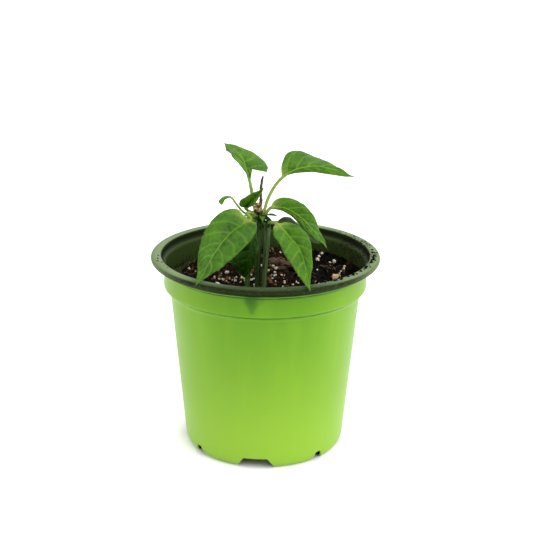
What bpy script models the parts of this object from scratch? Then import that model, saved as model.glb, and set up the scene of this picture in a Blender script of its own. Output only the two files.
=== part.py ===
"""Chilli pepper seedlings in a two-colour thermoformed nursery pot.

Dimensions are millimetres; MM turns them into the metres of the scene.
The pot stands on z = 0 with its axis on x = y = 0, and the front of the
plant faces -Y.
"""
import math

import bmesh
import bpy
from mathutils import Matrix, Vector, noise

MM = 0.001
FIT_GAP = 0.3          # clearance left between two pieces that touch

# Pot: one plastic sheet, shaped over a mould and rolled over at the rim.
SHEET = 0.8
POT_HEIGHT = 113.4
RIM_RADIUS = 65.0
RIM_FLAT_INNER = 60.0
COLLAR_RADIUS = 57.2
COLLAR_FOOT = 95.0
WALL_TOP_RADIUS = 54.1
WALL_TOP = 91.8
WALL_FOOT_RADIUS = 46.1
WALL_FOOT = 6.5
FOOT_OUTER = 43.4
FOOT_INNER = 38.5
FOOT_EASE = 0.6       # from each edge of the foot to its dead flat middle
FLOOR_RISE = 6.8
POT_SEGMENTS = 48

# Drainage notches at the base edge: (width at the ground, width at the top, height).
WIDE_NOTCH = (22.0, 13.7, 6.3)
NARROW_NOTCH = (8.5, 3.4, 5.6)
NOTCH_TURNS = (264.2, 312.4, 356.4, 40.4, 84.4, 128.4, 172.4, 216.4)    # degrees round from +X
NOTCH_INNER = 34.0
NOTCH_OUTER = 52.0
NOTCH_BELOW = 2.0

# Potting soil: a tilted, lumpy surface.
SOIL_LEVEL = 95.4
SOIL_TILT_X = 0.055
SOIL_TILT_Y = 0.045
SOIL_LUMPS = ((13.0, 1.5), (6.0, 0.7))    # (wavelength, height)
SOIL_GRID = 22
SOIL_BLOCK = 124.0
SOIL_FIT = 0.35
SOIL_TOP = 104.0        # the cavity is filled to here before the surface is shaped
SOIL_BOTTOM = FLOOR_RISE + SHEET + SOIL_FIT

# Stems: points on the centre line and the radius at each.
MAIN_STEM = (
    ((-4.4, -6.0, 74.0), 1.4),
    ((-4.4, -6.0, 95.0), 1.6),
    ((-4.2, -6.0, 109.0), 1.7),
    ((-4.0, -6.0, 122.0), 1.7),
    ((-4.1, -5.6, 131.5), 1.9),
    ((-4.2, -5.4, 136.5), 2.5),
    ((-4.4, -6.6, 139.8), 2.7),
    ((-4.7, -9.3, 143.2), 2.6),
)
RIGHT_STEM = (
    ((-1.0, -8.6, 76.0), 1.3),
    ((-0.8, -8.4, 96.0), 1.5),
    ((-0.3, -7.4, 109.5), 1.6),
    ((0.5, -6.6, 119.5), 1.7),
    ((0.8, -6.4, 129.0), 1.9),
    ((0.6, -6.4, 132.6), 1.6),
)
LEFT_STEM = (
    ((-10.6, -3.0, 76.0), 1.3),
    ((-10.4, -3.0, 94.0), 1.6),
    ((-9.8, -3.0, 103.0), 1.6),
    ((-8.7, -3.2, 115.0), 1.5),
    ((-7.9, -3.7, 125.0), 1.4),
    ((-7.5, -4.1, 131.0), 1.1),
)
DRIED_SHOOT = (
    ((-3.3, -3.6, 138.4), 0.8),
    ((-2.8, -2.2, 143.8), 0.9),
    ((-3.0, -1.8, 149.8), 0.8),
    ((-2.6, -1.8, 154.0), 0.8),
    ((-1.8, -2.0, 158.3), 0.6),
)
PITH_RADIUS = 1.2
PITH_DEPTH = 2.2

# Leaves.  stalk: from the stem to the foot of the blade; midrib: on to the tip.
# left, right: (greatest half width, foot exponent, tip exponent) of each half.
# roll, fold: degrees at the foot, the middle and the tip of the blade.
LEAVES = {
    "upper_left_leaf": dict(
        stalk=((-5.6, -3.6, 138.9), (-6.9, -1.4, 141.8), (-7.7, -0.6, 147.0), (-8.8, 0.0, 153.0)),
        midrib=((-10.2, 4.0, 157.0), (-11.7, 9.0, 160.3), (-13.5, 14.0, 164.3),
                (-16.5, 18.0, 167.0), (-20.5, 22.0, 169.2), (-24.3, 25.0, 170.8)),
        left=(9.5, 1.2, 1.15), right=(12.8, 1.3, 1.5), roll=(15, 15, -10), fold=(50, 15, -5),
        stalk_radius=1.0),
    "upper_right_leaf": dict(
        stalk=((-2.2, -5.4, 137.9), (-0.6, -3.9, 140.1), (1.0, -1.0, 144.8), (4.6, 2.5, 151.0),
               (8.5, 4.0, 155.5)),
        midrib=((13.0, 4.0, 159.0), (19.0, 4.0, 161.5), (28.0, 3.0, 163.0), (37.0, 1.0, 161.5),
                (49.5, -3.0, 158.5)),
        left=(14.7, 1.34, 2.47), right=(3.6, 1.18, 1.06), roll=(87, 34, 73), fold=(29, -28, 21),
        stalk_radius=0.9),
    "arching_right_leaf": dict(
        stalk=((-3.2, -5.4, 134.2), (-0.9, -5.0, 136.2), (3.0, -4.0, 140.8)),
        midrib=((10.0, -6.0, 141.2), (17.0, -8.0, 138.3), (23.7, -10.0, 132.5),
                (30.5, -12.0, 125.0), (35.0, -14.0, 119.2)),
        left=(6.7, 0.41, 0.76), right=(3.4, 0.61, 0.48), roll=(80, 65, -37), fold=(-9, -14, 4),
        stalk_radius=0.9),
    "front_left_leaf": dict(
        stalk=((-5.4, -7.2, 136.8), (-8.2, -9.6, 139.4), (-10.2, -12.2, 139.4), (-8.5, -14.0, 136.5)),
        midrib=((-14.0, -20.0, 134.5), (-18.5, -26.0, 132.8), (-23.7, -34.0, 129.0),
                (-28.5, -42.0, 123.7), (-32.7, -50.0, 117.6), (-36.6, -57.0, 112.7)),
        left=(16.2, 0.71, 1.45), right=(12.9, 0.39, 1.13), roll=(-21, -12, -31), fold=(35, 13, 8),
        stalk_radius=1.1),
    "front_right_leaf": dict(
        stalk=((0.6, -7.0, 132.0), (2.4, -11.0, 134.0), (6.0, -17.0, 135.2)),
        midrib=((10.0, -22.0, 133.0), (13.5, -28.0, 130.3), (17.3, -34.0, 127.7),
                (20.0, -42.0, 124.0), (22.0, -53.0, 118.3), (23.6, -64.0, 113.0)),
        left=(8.2, 0.61, 1.49), right=(10.7, 0.63, 1.11), roll=(9, 17, 1), fold=(17, 25, 7),
        stalk_radius=1.0),
    "back_right_leaf": dict(
        stalk=((0.8, -6.0, 131.5), (2.8, -4.0, 132.4), (5.5, -2.0, 131.5)),
        midrib=((12.8, 2.0, 130.7), (19.2, 5.0, 126.0), (25.6, 7.0, 120.7), (31.4, 8.0, 116.3)),
        left=(5.7, 1.0, 0.8), right=(7.0, 0.95, 0.8), roll=(70, 35, 10), fold=(-15, -15, -15),
        stalk_radius=0.8),
    "small_top_leaf": dict(
        stalk=((-5.8, -5.6, 138.2), (-9.0, -4.8, 138.8), (-11.6, -5.8, 141.0)),
        midrib=((-9.2, -8.2, 143.8), (-6.0, -9.8, 148.1), (-3.4, -11.0, 151.9), (-1.0, -12.0, 155.0)),
        left=(6.8, 0.7, 1.7), right=(4.4, 0.75, 1.2), roll=(105, 90, 115), fold=(70, 50, 50),
        stalk_radius=0.7),
    "curled_left_leaf": dict(
        stalk=((-5.0, -5.2, 136.0), (-8.2, -6.0, 136.8), (-12.6, -8.4, 139.4), (-16.8, -10.4, 145.2),
               (-18.7, -10.2, 147.8)),
        midrib=((-20.7, -10.0, 148.7), (-22.8, -12.0, 149.0), (-24.5, -14.0, 147.7),
                (-24.3, -15.0, 145.7), (-23.5, -15.0, 144.9)),
        left=(2.4, 0.9, 0.9), right=(2.4, 0.6, 0.9), roll=(-15, 5, 15), fold=(0, -15, 15),
        stalk_radius=0.6),
    "hanging_leaf": dict(
        stalk=((-4.4, -6.2, 134.5), (-5.0, -9.0, 135.2), (-5.7, -11.0, 133.5)),
        midrib=((-7.0, -14.0, 128.5), (-8.3, -15.0, 121.5), (-9.5, -14.0, 114.0),
                (-10.8, -12.4, 107.5), (-12.0, -10.4, 101.5)),
        left=(5.0, 1.0, 0.9), right=(10.5, 1.25, 0.95), roll=(-40, -105, -120), fold=(5, 5, 30),
        stalk_radius=0.8),
    "axil_leaf_front": dict(
        stalk=((-3.6, -6.8, 136.0), (-3.2, -8.6, 136.6), (-3.0, -9.8, 137.0)),
        midrib=((-2.4, -11.6, 136.6), (-1.6, -13.0, 135.0)),
        left=(2.0, 0.6, 1.2), right=(2.0, 0.6, 1.2), roll=(-20, -20, -20), fold=(40, 30, 10),
        stalk_radius=0.5),
    "axil_leaf_right": dict(
        stalk=((-3.2, -6.2, 134.2), (-1.6, -7.2, 134.6), (-0.4, -8.0, 135.2)),
        midrib=((0.8, -8.6, 135.8), (2.0, -9.0, 135.8)),
        left=(1.4, 0.6, 1.2), right=(1.4, 0.6, 1.2), roll=(40, 40, 40), fold=(40, 30, 10),
        stalk_radius=0.5),
    "axil_leaf_lower": dict(
        stalk=((-3.6, -6.4, 132.8), (-3.0, -7.8, 133.2), (-2.4, -9.2, 133.8)),
        midrib=((-1.4, -10.6, 133.4), (-0.6, -11.4, 132.0)),
        left=(1.4, 0.6, 1.2), right=(1.4, 0.6, 1.2), roll=(-10, -10, -10), fold=(40, 30, 10),
        stalk_radius=0.5),
    "narrow_leaf": dict(
        stalk=((-2.6, -6.4, 136.0), (-0.8, -7.6, 137.2), (0.9, -8.4, 138.0)),
        midrib=((3.7, -10.0, 138.2), (7.0, -12.0, 138.1)),
        left=(1.1, 0.6, 1.2), right=(1.1, 0.6, 1.2), roll=(20, 20, 20), fold=(20, 20, 10),
        stalk_radius=0.5),
}
LEAF_HALF_THICKNESS = 0.35
LEAF_SIDES = 8
STALK_STATIONS = 4
BLADE_STATIONS = (0.0, 0.06, 0.14, 0.24, 0.36, 0.5, 0.64, 0.78, 0.9, 1.0)
TIP_RADIUS = 0.25
FOLD_START = 0.04      # the fold is complete this far along the blade
TIP_THINNING = 0.7     # greatest half thickness as a share of the half width
MITRE_LIMIT = 0.6      # keeps the crease of a sharply folded blade from growing thick
UP = Vector((0.0, 0.0, 1.0))

# Loose lumps lying on the soil: centre, half sizes.
LUMP_GAP = 0.4
PEAT_CLUMP = ((10.2, 25.0), (6.0, 5.0, 3.8))
BARK_CHIP = ((40.5, 2.0), (2.4, 2.1, 2.6))

COLOURS = {
    "pot": (0.33, 0.56, 0.07),
    "soil": (0.035, 0.022, 0.014),
    "stem": (0.16, 0.25, 0.06),
    "dry": (0.05, 0.03, 0.02),
    "leaf": (0.12, 0.28, 0.04),
    "peat": (0.16, 0.09, 0.05),
    "bark": (0.55, 0.42, 0.27),
}


def clear_scene():
    for item in list(bpy.data.objects):
        bpy.data.objects.remove(item, do_unlink=True)


def new_collection(name):
    group = bpy.data.collections.new(name)
    bpy.context.scene.collection.children.link(group)
    return group


def material(name, colour, roughness):
    mat = bpy.data.materials.new(name)
    mat.use_nodes = True
    shader = mat.node_tree.nodes["Principled BSDF"]
    shader.inputs["Base Color"].default_value = (*colour, 1.0)
    shader.inputs["Roughness"].default_value = roughness
    shader.inputs["Metallic"].default_value = 0.0
    return mat


def mesh_object(name, bm, group, mat=None):
    mesh = bpy.data.meshes.new(name)
    bm.to_mesh(mesh)
    bm.free()
    item = bpy.data.objects.new(name, mesh)
    group.objects.link(item)
    if mat:
        mesh.materials.append(mat)
    else:
        item.hide_render = True
        item.display_type = "WIRE"
    return item


def boolean(item, cutter, operation):
    step = item.modifiers.new(f"{operation.lower()} {cutter.name}", "BOOLEAN")
    step.object = cutter
    step.operation = operation
    step.solver = "EXACT"


def screw(item, steps):
    turn = item.modifiers.new("turn", "SCREW")
    turn.axis = "Z"
    turn.steps = steps
    turn.render_steps = steps
    turn.use_merge_vertices = True
    turn.merge_threshold = 0.00005
    turn.use_smooth_shade = True


def profile_mesh(points):
    bm = bmesh.new()
    verts = [bm.verts.new((radius * MM, 0.0, height * MM)) for radius, height in points]
    for first, second in zip(verts, verts[1:]):
        bm.edges.new((first, second))
    return bm


def pot_middle_line():
    """Middle of the pot's sheet, (radius, height), from the curled lip down to the floor's centre."""
    half = SHEET / 2
    top = POT_HEIGHT - half
    lip = RIM_RADIUS - half
    return [
        (60.2, top - 4.6),
        (61.8, top - 4.2),
        (62.9, top - 3.4),
        (lip - 0.3, top - 2.4),
        (lip, top - 1.4),
        (lip - 0.5, top - 0.5),
        (lip - 1.6, top),
        (RIM_FLAT_INNER, top),
        (RIM_FLAT_INNER - 0.8, top - 0.6),
        (RIM_FLAT_INNER - 1.0, top - 2.6),
        (RIM_FLAT_INNER - 1.4, top - 3.6),
        (COLLAR_RADIUS, top - 4.5),
        (COLLAR_RADIUS - half, top - 5.4),
        (COLLAR_RADIUS - half, top - 7.0),
        (COLLAR_RADIUS + 0.1 - half, 103.0),
        (COLLAR_RADIUS + 0.6 - half, COLLAR_FOOT + 1.0),
        (COLLAR_RADIUS + 0.3 - half, COLLAR_FOOT),
        (WALL_TOP_RADIUS + 0.4, WALL_TOP + 1.2),
        (WALL_TOP_RADIUS - half, WALL_TOP - 0.4),
        (WALL_FOOT_RADIUS - half, WALL_FOOT),
        (WALL_FOOT_RADIUS - 0.5 - half, 3.6),
        (WALL_FOOT_RADIUS - 1.5 - half, 1.7),
        (FOOT_OUTER - half, half),
        (FOOT_OUTER - half - FOOT_EASE, half),
        (FOOT_INNER + FOOT_EASE, half),
        (FOOT_INNER, half),
        (FOOT_INNER - 1.5, FLOOR_RISE + half),
        (0.0, FLOOR_RISE + half),
    ]


def notch_cutter(group):
    """Eight trapezoid wedges, wide and narrow in turn, across the pot's bottom corner."""
    bm = bmesh.new()
    for index, degrees in enumerate(NOTCH_TURNS):
        base, top, height = NARROW_NOTCH if index % 2 else WIDE_NOTCH
        slope = (base - top) / height
        turn = Matrix.Rotation(math.radians(degrees), 3, "Z")
        cube = bmesh.ops.create_cube(bm, size=1.0)["verts"]
        for vert in cube:
            radius = NOTCH_OUTER if vert.co.x > 0 else NOTCH_INNER
            above = vert.co.z > 0
            z = height if above else -NOTCH_BELOW
            width = top if above else base + slope * NOTCH_BELOW
            side = math.copysign(width / 2, vert.co.y)
            vert.co = turn @ Vector((radius, side, z)) * MM
    return mesh_object("notch cutter", bm, group)


def make_pot(group, cutters, mat):
    pot = mesh_object("nursery_pot", profile_mesh(pot_middle_line()), group, mat)
    screw(pot, POT_SEGMENTS)
    wall = pot.modifiers.new("sheet", "SOLIDIFY")
    wall.thickness = SHEET * MM
    wall.offset = 0.0
    boolean(pot, notch_cutter(cutters), "DIFFERENCE")
    return pot


def soil_height(x, y):
    height = SOIL_LEVEL + SOIL_TILT_X * x + SOIL_TILT_Y * y
    for layer, (wavelength, size) in enumerate(SOIL_LUMPS):
        height += size * noise.noise(Vector((x / wavelength, y / wavelength, 7.0 * layer)))
    return height


def soil_block(name, lift, group):
    """A block whose top is the soil's surface raised by lift."""
    bm = bmesh.new()
    half = SOIL_BLOCK / 2
    bmesh.ops.create_grid(bm, x_segments=SOIL_GRID, y_segments=SOIL_GRID, size=half)
    rim = [edge for edge in bm.edges if edge.is_boundary]
    low = bmesh.ops.extrude_edge_only(bm, edges=rim)["geom"]
    low_edges = [part for part in low if isinstance(part, bmesh.types.BMEdge) and part.is_boundary]
    bmesh.ops.contextual_create(bm, geom=low_edges)
    floor = {vert for edge in low_edges for vert in edge.verts}
    for vert in bm.verts:
        x, y = vert.co.x, vert.co.y
        z = -5.0 if vert in floor else soil_height(x, y) + lift
        vert.co = Vector((x, y, z)) * MM
    bmesh.ops.triangulate(bm, faces=bm.faces)
    bmesh.ops.recalc_face_normals(bm, faces=bm.faces)
    return mesh_object(name, bm, group)


def inset(line, distance):
    """A (radius, height) line moved toward the inside of the pot."""
    moved = []
    for index, point in enumerate(line):
        before = line[max(index - 1, 0)]
        after = line[min(index + 1, len(line) - 1)]
        here = Vector(point)
        steps = [step.normalized() for step in (here - Vector(before), Vector(after) - here) if step.length]
        normals = [Vector((step.y, -step.x)) for step in steps]
        middle = (normals[0] + normals[-1]).normalized()
        moved.append(here + middle * distance / middle.dot(normals[0]))
    return moved


def soil_cavity():
    """Outline of the pot's inside above its floor, a little smaller than the sheet."""
    line = inset(pot_middle_line(), SHEET / 2 + SOIL_FIT)
    inside = [point for point in line if SOIL_BOTTOM < point.y < SOIL_TOP]
    foot = WALL_FOOT_RADIUS - SHEET - SOIL_FIT
    return [(0.0, SOIL_TOP), (inside[0].x, SOIL_TOP), *inside, (foot, SOIL_BOTTOM), (0.0, SOIL_BOTTOM)]


def make_soil(group, cutters, stems, surface, mat):
    soil = mesh_object("potting_soil", profile_mesh(soil_cavity()), group, mat)
    screw(soil, POT_SEGMENTS)
    boolean(soil, surface, "INTERSECT")
    for name, route in stems.items():
        hole = tube(f"{name} hole", route, cutters, grow=FIT_GAP)
        boolean(soil, hole, "DIFFERENCE")
    return soil


def tube(name, route, group, mat=None, grow=0.0):
    """A rod along route, ((x, y, z), radius) pairs; grow makes it thicker and longer all round."""
    curve = bpy.data.curves.new(name, "CURVE")
    curve.dimensions = "3D"
    curve.bevel_depth = MM
    curve.bevel_resolution = 3
    curve.use_fill_caps = True
    points = [Vector(place) for place, radius in route]
    points[0] = points[0] + (points[0] - points[1]).normalized() * grow
    points[-1] = points[-1] + (points[-1] - points[-2]).normalized() * grow
    spline = curve.splines.new("POLY")
    spline.points.add(len(points) - 1)
    for slot, place, (_, radius) in zip(spline.points, points, route):
        slot.co = (*(place * MM), 1.0)
        slot.radius = radius + grow
    guide = bpy.data.objects.new(f"{name} guide", curve)
    bpy.context.scene.collection.objects.link(guide)
    bpy.context.view_layer.update()
    ready = guide.evaluated_get(bpy.context.evaluated_depsgraph_get())
    mesh = bpy.data.meshes.new_from_object(ready)
    bpy.data.objects.remove(guide, do_unlink=True)
    bm = bmesh.new()
    bm.from_mesh(mesh)
    bpy.data.meshes.remove(mesh)
    bmesh.ops.remove_doubles(bm, verts=bm.verts, dist=0.00001)
    bmesh.ops.recalc_face_normals(bm, faces=bm.faces)
    for face in bm.faces:
        face.smooth = True
    return mesh_object(name, bm, group, mat)


def pith_cutter(group):
    """The hollow in the cut end of the main stem."""
    end = Vector(MAIN_STEM[-1][0])
    along = (end - Vector(MAIN_STEM[-2][0])).normalized()
    bm = bmesh.new()
    bmesh.ops.create_cone(bm, cap_ends=True, segments=10, radius1=PITH_RADIUS * 0.6 * MM,
                          radius2=PITH_RADIUS * MM, depth=PITH_DEPTH * 2 * MM)
    turn = Vector((0, 0, 1)).rotation_difference(along).to_matrix()
    for vert in bm.verts:
        vert.co = turn @ vert.co + end * MM
    return mesh_object("pith cutter", bm, group)


def smooth_path(points, per_span=12):
    """A smooth line through the points."""
    knots = [Vector(point) for point in points]
    knots.insert(0, 2 * knots[0] - knots[1])
    knots.append(2 * knots[-1] - knots[-2])
    path = []
    for a, b, c, d in zip(knots, knots[1:], knots[2:], knots[3:]):
        for step in range(per_span):
            t = step / per_span
            path.append(0.5 * (2 * b + (c - a) * t + (2 * a - 5 * b + 4 * c - d) * t * t
                               + (3 * b - a - 3 * c + d) * t ** 3))
    path.append(knots[-2])
    return path


def along(path, fractions):
    """Points of path at the given fractions of its length."""
    reach = [0.0]
    for first, second in zip(path, path[1:]):
        reach.append(reach[-1] + (second - first).length)
    found = []
    for fraction in fractions:
        goal = fraction * reach[-1]
        index = max(i for i in range(len(path) - 1) if reach[i] <= goal or i == 0)
        span = reach[index + 1] - reach[index]
        found.append(path[index].lerp(path[index + 1], (goal - reach[index]) / span))
    return found


def three_point(values, t):
    """Value at t of the parabola through values at 0, 0.5 and 1."""
    start, middle, end = values
    return (start * 2 * (t - 0.5) * (t - 1) - middle * 4 * t * (t - 1) + end * 2 * t * (t - 0.5))


def half_width(shape, t):
    """Half width of one side of a blade at fraction t from its foot to its tip."""
    greatest, foot, tip = shape
    peak = foot / (foot + tip)
    return greatest * (t / peak) ** foot * ((1 - t) / (1 - peak)) ** tip




def square_to(direction, normal):
    """The direction nearest to normal that is square to the given one."""
    return (normal - direction * normal.dot(direction)).normalized()


def leaf_sections(leaf):
    """Centre, right-hand direction, left-hand direction, normal, half sizes at each station."""
    stalk = smooth_path((*leaf["stalk"], leaf["midrib"][0]))
    spans = len(leaf["stalk"]) - 1
    foot_index = spans * (len(stalk) - 1) // (spans + 1)
    stalk = stalk[:foot_index + 1]
    blade = smooth_path((leaf["stalk"][-1], *leaf["midrib"]))
    centres = along(blade, BLADE_STATIONS)
    sections = []
    for index, t in enumerate(BLADE_STATIONS):
        ahead = centres[min(index + 1, len(centres) - 1)]
        behind = centres[max(index - 1, 0)]
        forward = (ahead - behind).normalized()
        normal = square_to(forward, UP)
        side = forward.cross(normal)
        turn = Matrix.Rotation(math.radians(three_point(leaf["roll"], t)), 3, forward)
        normal = turn @ normal
        side = turn @ side
        lift = math.radians(three_point(leaf["fold"], t)) * min(1.0, t / FOLD_START)
        right = side * math.cos(lift) + normal * math.sin(lift)
        left = -side * math.cos(lift) + normal * math.sin(lift)
        swell = leaf["stalk_radius"] - LEAF_HALF_THICKNESS
        thick = LEAF_HALF_THICKNESS + swell * max(0.0, 1 - t / 0.3) ** 2
        narrow = leaf["stalk_radius"] * (1 - t) + TIP_RADIUS * t
        right_half = max(narrow, half_width(leaf["right"], t))
        left_half = max(narrow, half_width(leaf["left"], t))
        if t > 0:
            thick = min(thick, TIP_THINNING * min(right_half, left_half))
        sections.append((centres[index], right, left, normal, right_half, left_half, thick))
    normal = sections[0][3]
    stations = along(stalk, [index / STALK_STATIONS for index in range(STALK_STATIONS)])
    radius = leaf["stalk_radius"]
    for index in reversed(range(STALK_STATIONS)):
        ahead = stations[index + 1] if index + 1 < STALK_STATIONS else stalk[-1]
        forward = (ahead - stations[index]).normalized()
        normal = square_to(forward, normal)
        side = forward.cross(normal)
        sections.insert(0, (stations[index], side, -side, normal, radius, radius, radius))
    return sections


def leaf_mesh(leaf):
    """A leaf as one closed skin: round stalk running out into a thin folded blade."""
    bm = bmesh.new()
    rings = []
    for centre, right, left, normal, right_half, left_half, thick in leaf_sections(leaf):
        crease = thick / max(MITRE_LIMIT, square_to(right, normal).dot(normal))
        ring = []
        for corner in range(LEAF_SIDES):
            angle = 2 * math.pi * corner / LEAF_SIDES
            across, above = math.cos(angle), math.sin(angle)
            if corner in (LEAF_SIDES // 4, 3 * LEAF_SIDES // 4):
                place = normal * crease * above
            elif across > 0:
                place = right * right_half * across + square_to(right, normal) * thick * above
            else:
                place = left * left_half * -across + square_to(left, normal) * thick * above
            ring.append(bm.verts.new((centre + place) * MM))
        rings.append(ring)
    for near, far in zip(rings, rings[1:]):
        for corner in range(LEAF_SIDES):
            after = (corner + 1) % LEAF_SIDES
            a, b, c, d = near[corner], near[after], far[after], far[corner]
            # the same diagonals above and below keep a twisted blade's two skins apart
            if corner < LEAF_SIDES // 2:
                bm.faces.new((a, b, c))
                bm.faces.new((a, c, d))
            else:
                bm.faces.new((a, b, d))
                bm.faces.new((b, c, d))
    bm.faces.new(list(reversed(rings[0])))
    bm.faces.new(rings[-1])
    bmesh.ops.recalc_face_normals(bm, faces=bm.faces)
    for face in bm.faces:
        face.smooth = True
    return bm


def lump(name, place, half_sizes, surface, group, mat):
    """A rough lump pressed a little into the soil, its underside following the surface."""
    x, y = place
    wide, deep, high = half_sizes
    bm = bmesh.new()
    bmesh.ops.create_icosphere(bm, subdivisions=2, radius=1.0)
    for vert in bm.verts:
        rough = 1.0 + 0.25 * noise.noise(vert.co * 1.7 + Vector((x, y, 0)))
        shape = Vector((vert.co.x * wide, vert.co.y * deep, vert.co.z * high)) * rough
        vert.co = (shape + Vector((x, y, soil_height(x, y)))) * MM
    piece = mesh_object(name, bm, group, mat)
    boolean(piece, surface, "DIFFERENCE")
    return piece


def build():
    clear_scene()
    plant = new_collection("potted chilli pepper plant")
    cutters = new_collection("cutters")
    mats = {name: material(name, colour, 0.45 if name in ("pot", "leaf") else 0.8)
            for name, colour in COLOURS.items()}

    make_pot(plant, cutters, mats["pot"])
    stems = {"main_stem": MAIN_STEM, "right_stem": RIGHT_STEM, "left_stem": LEFT_STEM}
    surface = soil_block("soil surface", 0.0, cutters)
    raised = soil_block("raised soil surface", LUMP_GAP, cutters)
    make_soil(plant, cutters, stems, surface, mats["soil"])
    for name, route in stems.items():
        stem = tube(name, route, plant, mats["stem"])
        if name == "main_stem":
            boolean(stem, pith_cutter(cutters), "DIFFERENCE")
    shells = [tube(f"{name} clearance", route, cutters, grow=FIT_GAP) for name, route in stems.items()]

    shoot = tube("dried_shoot", DRIED_SHOOT, plant, mats["dry"])
    boolean(shoot, shells[0], "DIFFERENCE")
    for name, leaf in LEAVES.items():
        piece = mesh_object(name, leaf_mesh(leaf), plant, mats["leaf"])
        seat = shells[1] if name in ("front_right_leaf", "back_right_leaf") else shells[0]
        boolean(piece, seat, "DIFFERENCE")
    lump("peat_clump", *PEAT_CLUMP, raised, plant, mats["peat"])
    lump("bark_chip", *BARK_CHIP, raised, plant, mats["bark"])


build()
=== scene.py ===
"""Finished surfaces for the potted chilli pepper plant.

Lengths are millimetres; MM turns them into the metres of the scene. The pot stands on z = 0 with its axis
on x = y = 0, and the front of the plant faces -Y.
"""
import math
import random

import bmesh
import bpy
from mathutils import Matrix, Vector, noise


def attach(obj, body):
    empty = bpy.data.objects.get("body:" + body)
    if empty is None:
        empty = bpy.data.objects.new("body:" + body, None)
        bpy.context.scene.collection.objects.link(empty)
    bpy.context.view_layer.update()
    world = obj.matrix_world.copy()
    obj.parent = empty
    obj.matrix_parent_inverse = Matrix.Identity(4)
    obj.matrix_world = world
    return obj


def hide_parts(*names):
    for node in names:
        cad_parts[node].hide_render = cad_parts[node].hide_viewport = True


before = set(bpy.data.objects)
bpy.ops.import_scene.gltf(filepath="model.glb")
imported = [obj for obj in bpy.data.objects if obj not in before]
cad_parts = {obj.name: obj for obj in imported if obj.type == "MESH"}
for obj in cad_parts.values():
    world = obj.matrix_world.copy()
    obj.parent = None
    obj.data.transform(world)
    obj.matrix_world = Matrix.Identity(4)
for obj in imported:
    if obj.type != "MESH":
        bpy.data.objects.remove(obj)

MM = 0.001
UP = Vector((0.0, 0.0, 1.0))
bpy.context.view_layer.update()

# Pot sheet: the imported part's sizes. Its foot is rounded here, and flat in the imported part.
SHEET = 0.8
POT_HEIGHT = 113.4
RIM_RADIUS = 65.0
RIM_FLAT_INNER = 60.0
COLLAR_RADIUS = 57.2
COLLAR_FOOT = 95.0
WALL_TOP_RADIUS = 54.1
WALL_TOP = 91.8
WALL_FOOT_RADIUS = 46.1
WALL_FOOT = 6.5
FOOT_OUTER = 43.4
FOOT_INNER = 38.5
FLOOR_RISE = 6.8
POT_TURNS = 192
CORNER_REACH = 0.7
ARC_STEPS = 4
ROW_SPACING = 3.0
WALL_WAVER = 0.10      # how far the thin wall wanders from true
WAVER_LENGTH = 24.0
BEAD_MIDDLE = (60.0, 107.75)
BEAD_HALF = (0.75, 0.5)
BEAD_CORNERS = 12
SHARP_ANGLE = 50.0

# Drainage notches: (width at the ground, width at the top, height).
WIDE_NOTCH = (22.0, 13.7, 6.3)
NARROW_NOTCH = (8.5, 3.4, 5.6)
NOTCH_TURNS = (264.2, 312.4, 356.4, 40.4, 84.4, 128.4, 172.4, 216.4)    # degrees round from +X
NOTCH_INNER = 34.0
NOTCH_OUTER = 52.0
NOTCH_BELOW = 2.0
NOTCH_ROUNDING = 0.7

# Potting soil.
SOIL_LEVEL = 95.4
SOIL_TILT_X = 0.055
SOIL_TILT_Y = 0.045
SOIL_LUMPS = ((13.0, 1.5), (6.0, 0.7))       # (wavelength, height)
SOIL_CRUMBLE = ((3.4, 1.3), (1.7, 0.8))
SOIL_RINGS = 76
SOIL_TURNS = 288
SOIL_FIT = 0.12
SOIL_EDGE = 55.0        # where the surface is read to find how high it meets the pot
SOIL_BOTTOM = FLOOR_RISE + SHEET + SOIL_FIT
SIDE_STEP = 0.05       # least drop from one ring of the soil's side to the next

PEAT_CLUMP = ((10.2, 25.0), (6.0, 5.0, 3.8))
BARK_CHIP = ((40.5, 2.0), (2.4, 2.1, 2.6))

# Loose matter on the soil and the rim.
CRUMB_COUNT = 2300
CRUMB_GREATEST = 2.2
FIBRE_COUNT = 150
FIBRE_STEPS = 6
FIBRE_CORNERS = 5
FIBRE_REACH = 52.0
# Perlite lies in loose heaps: (middle, spread across and towards the back, how many).
PERLITE_HEAPS = (
    ((-20.0, 5.0), (6.0, 5.0), 12),
    ((-8.0, 12.0), (9.0, 5.0), 5),
    ((10.0, 8.0), (8.0, 8.0), 4),
    ((36.0, 26.0), (7.0, 5.0), 5),
)
PERLITE_HALF_SIZES = (0.7, 1.2)
PERLITE_REACH = 50.0
PERLITE_SMALL_COUNT = 34     # small grains crowded round the stems
PERLITE_SPREAD_COUNT = 60    # grains anywhere on the soil
SPILT_HEAPS = (              # (degrees round from +X, spread, how many)
    (-8.0, 5.0, 34),
    (-24.0, 7.0, 26),
    (-46.0, 6.0, 18),
    (14.0, 9.0, 16),
    (196.0, 10.0, 8),
)

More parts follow.
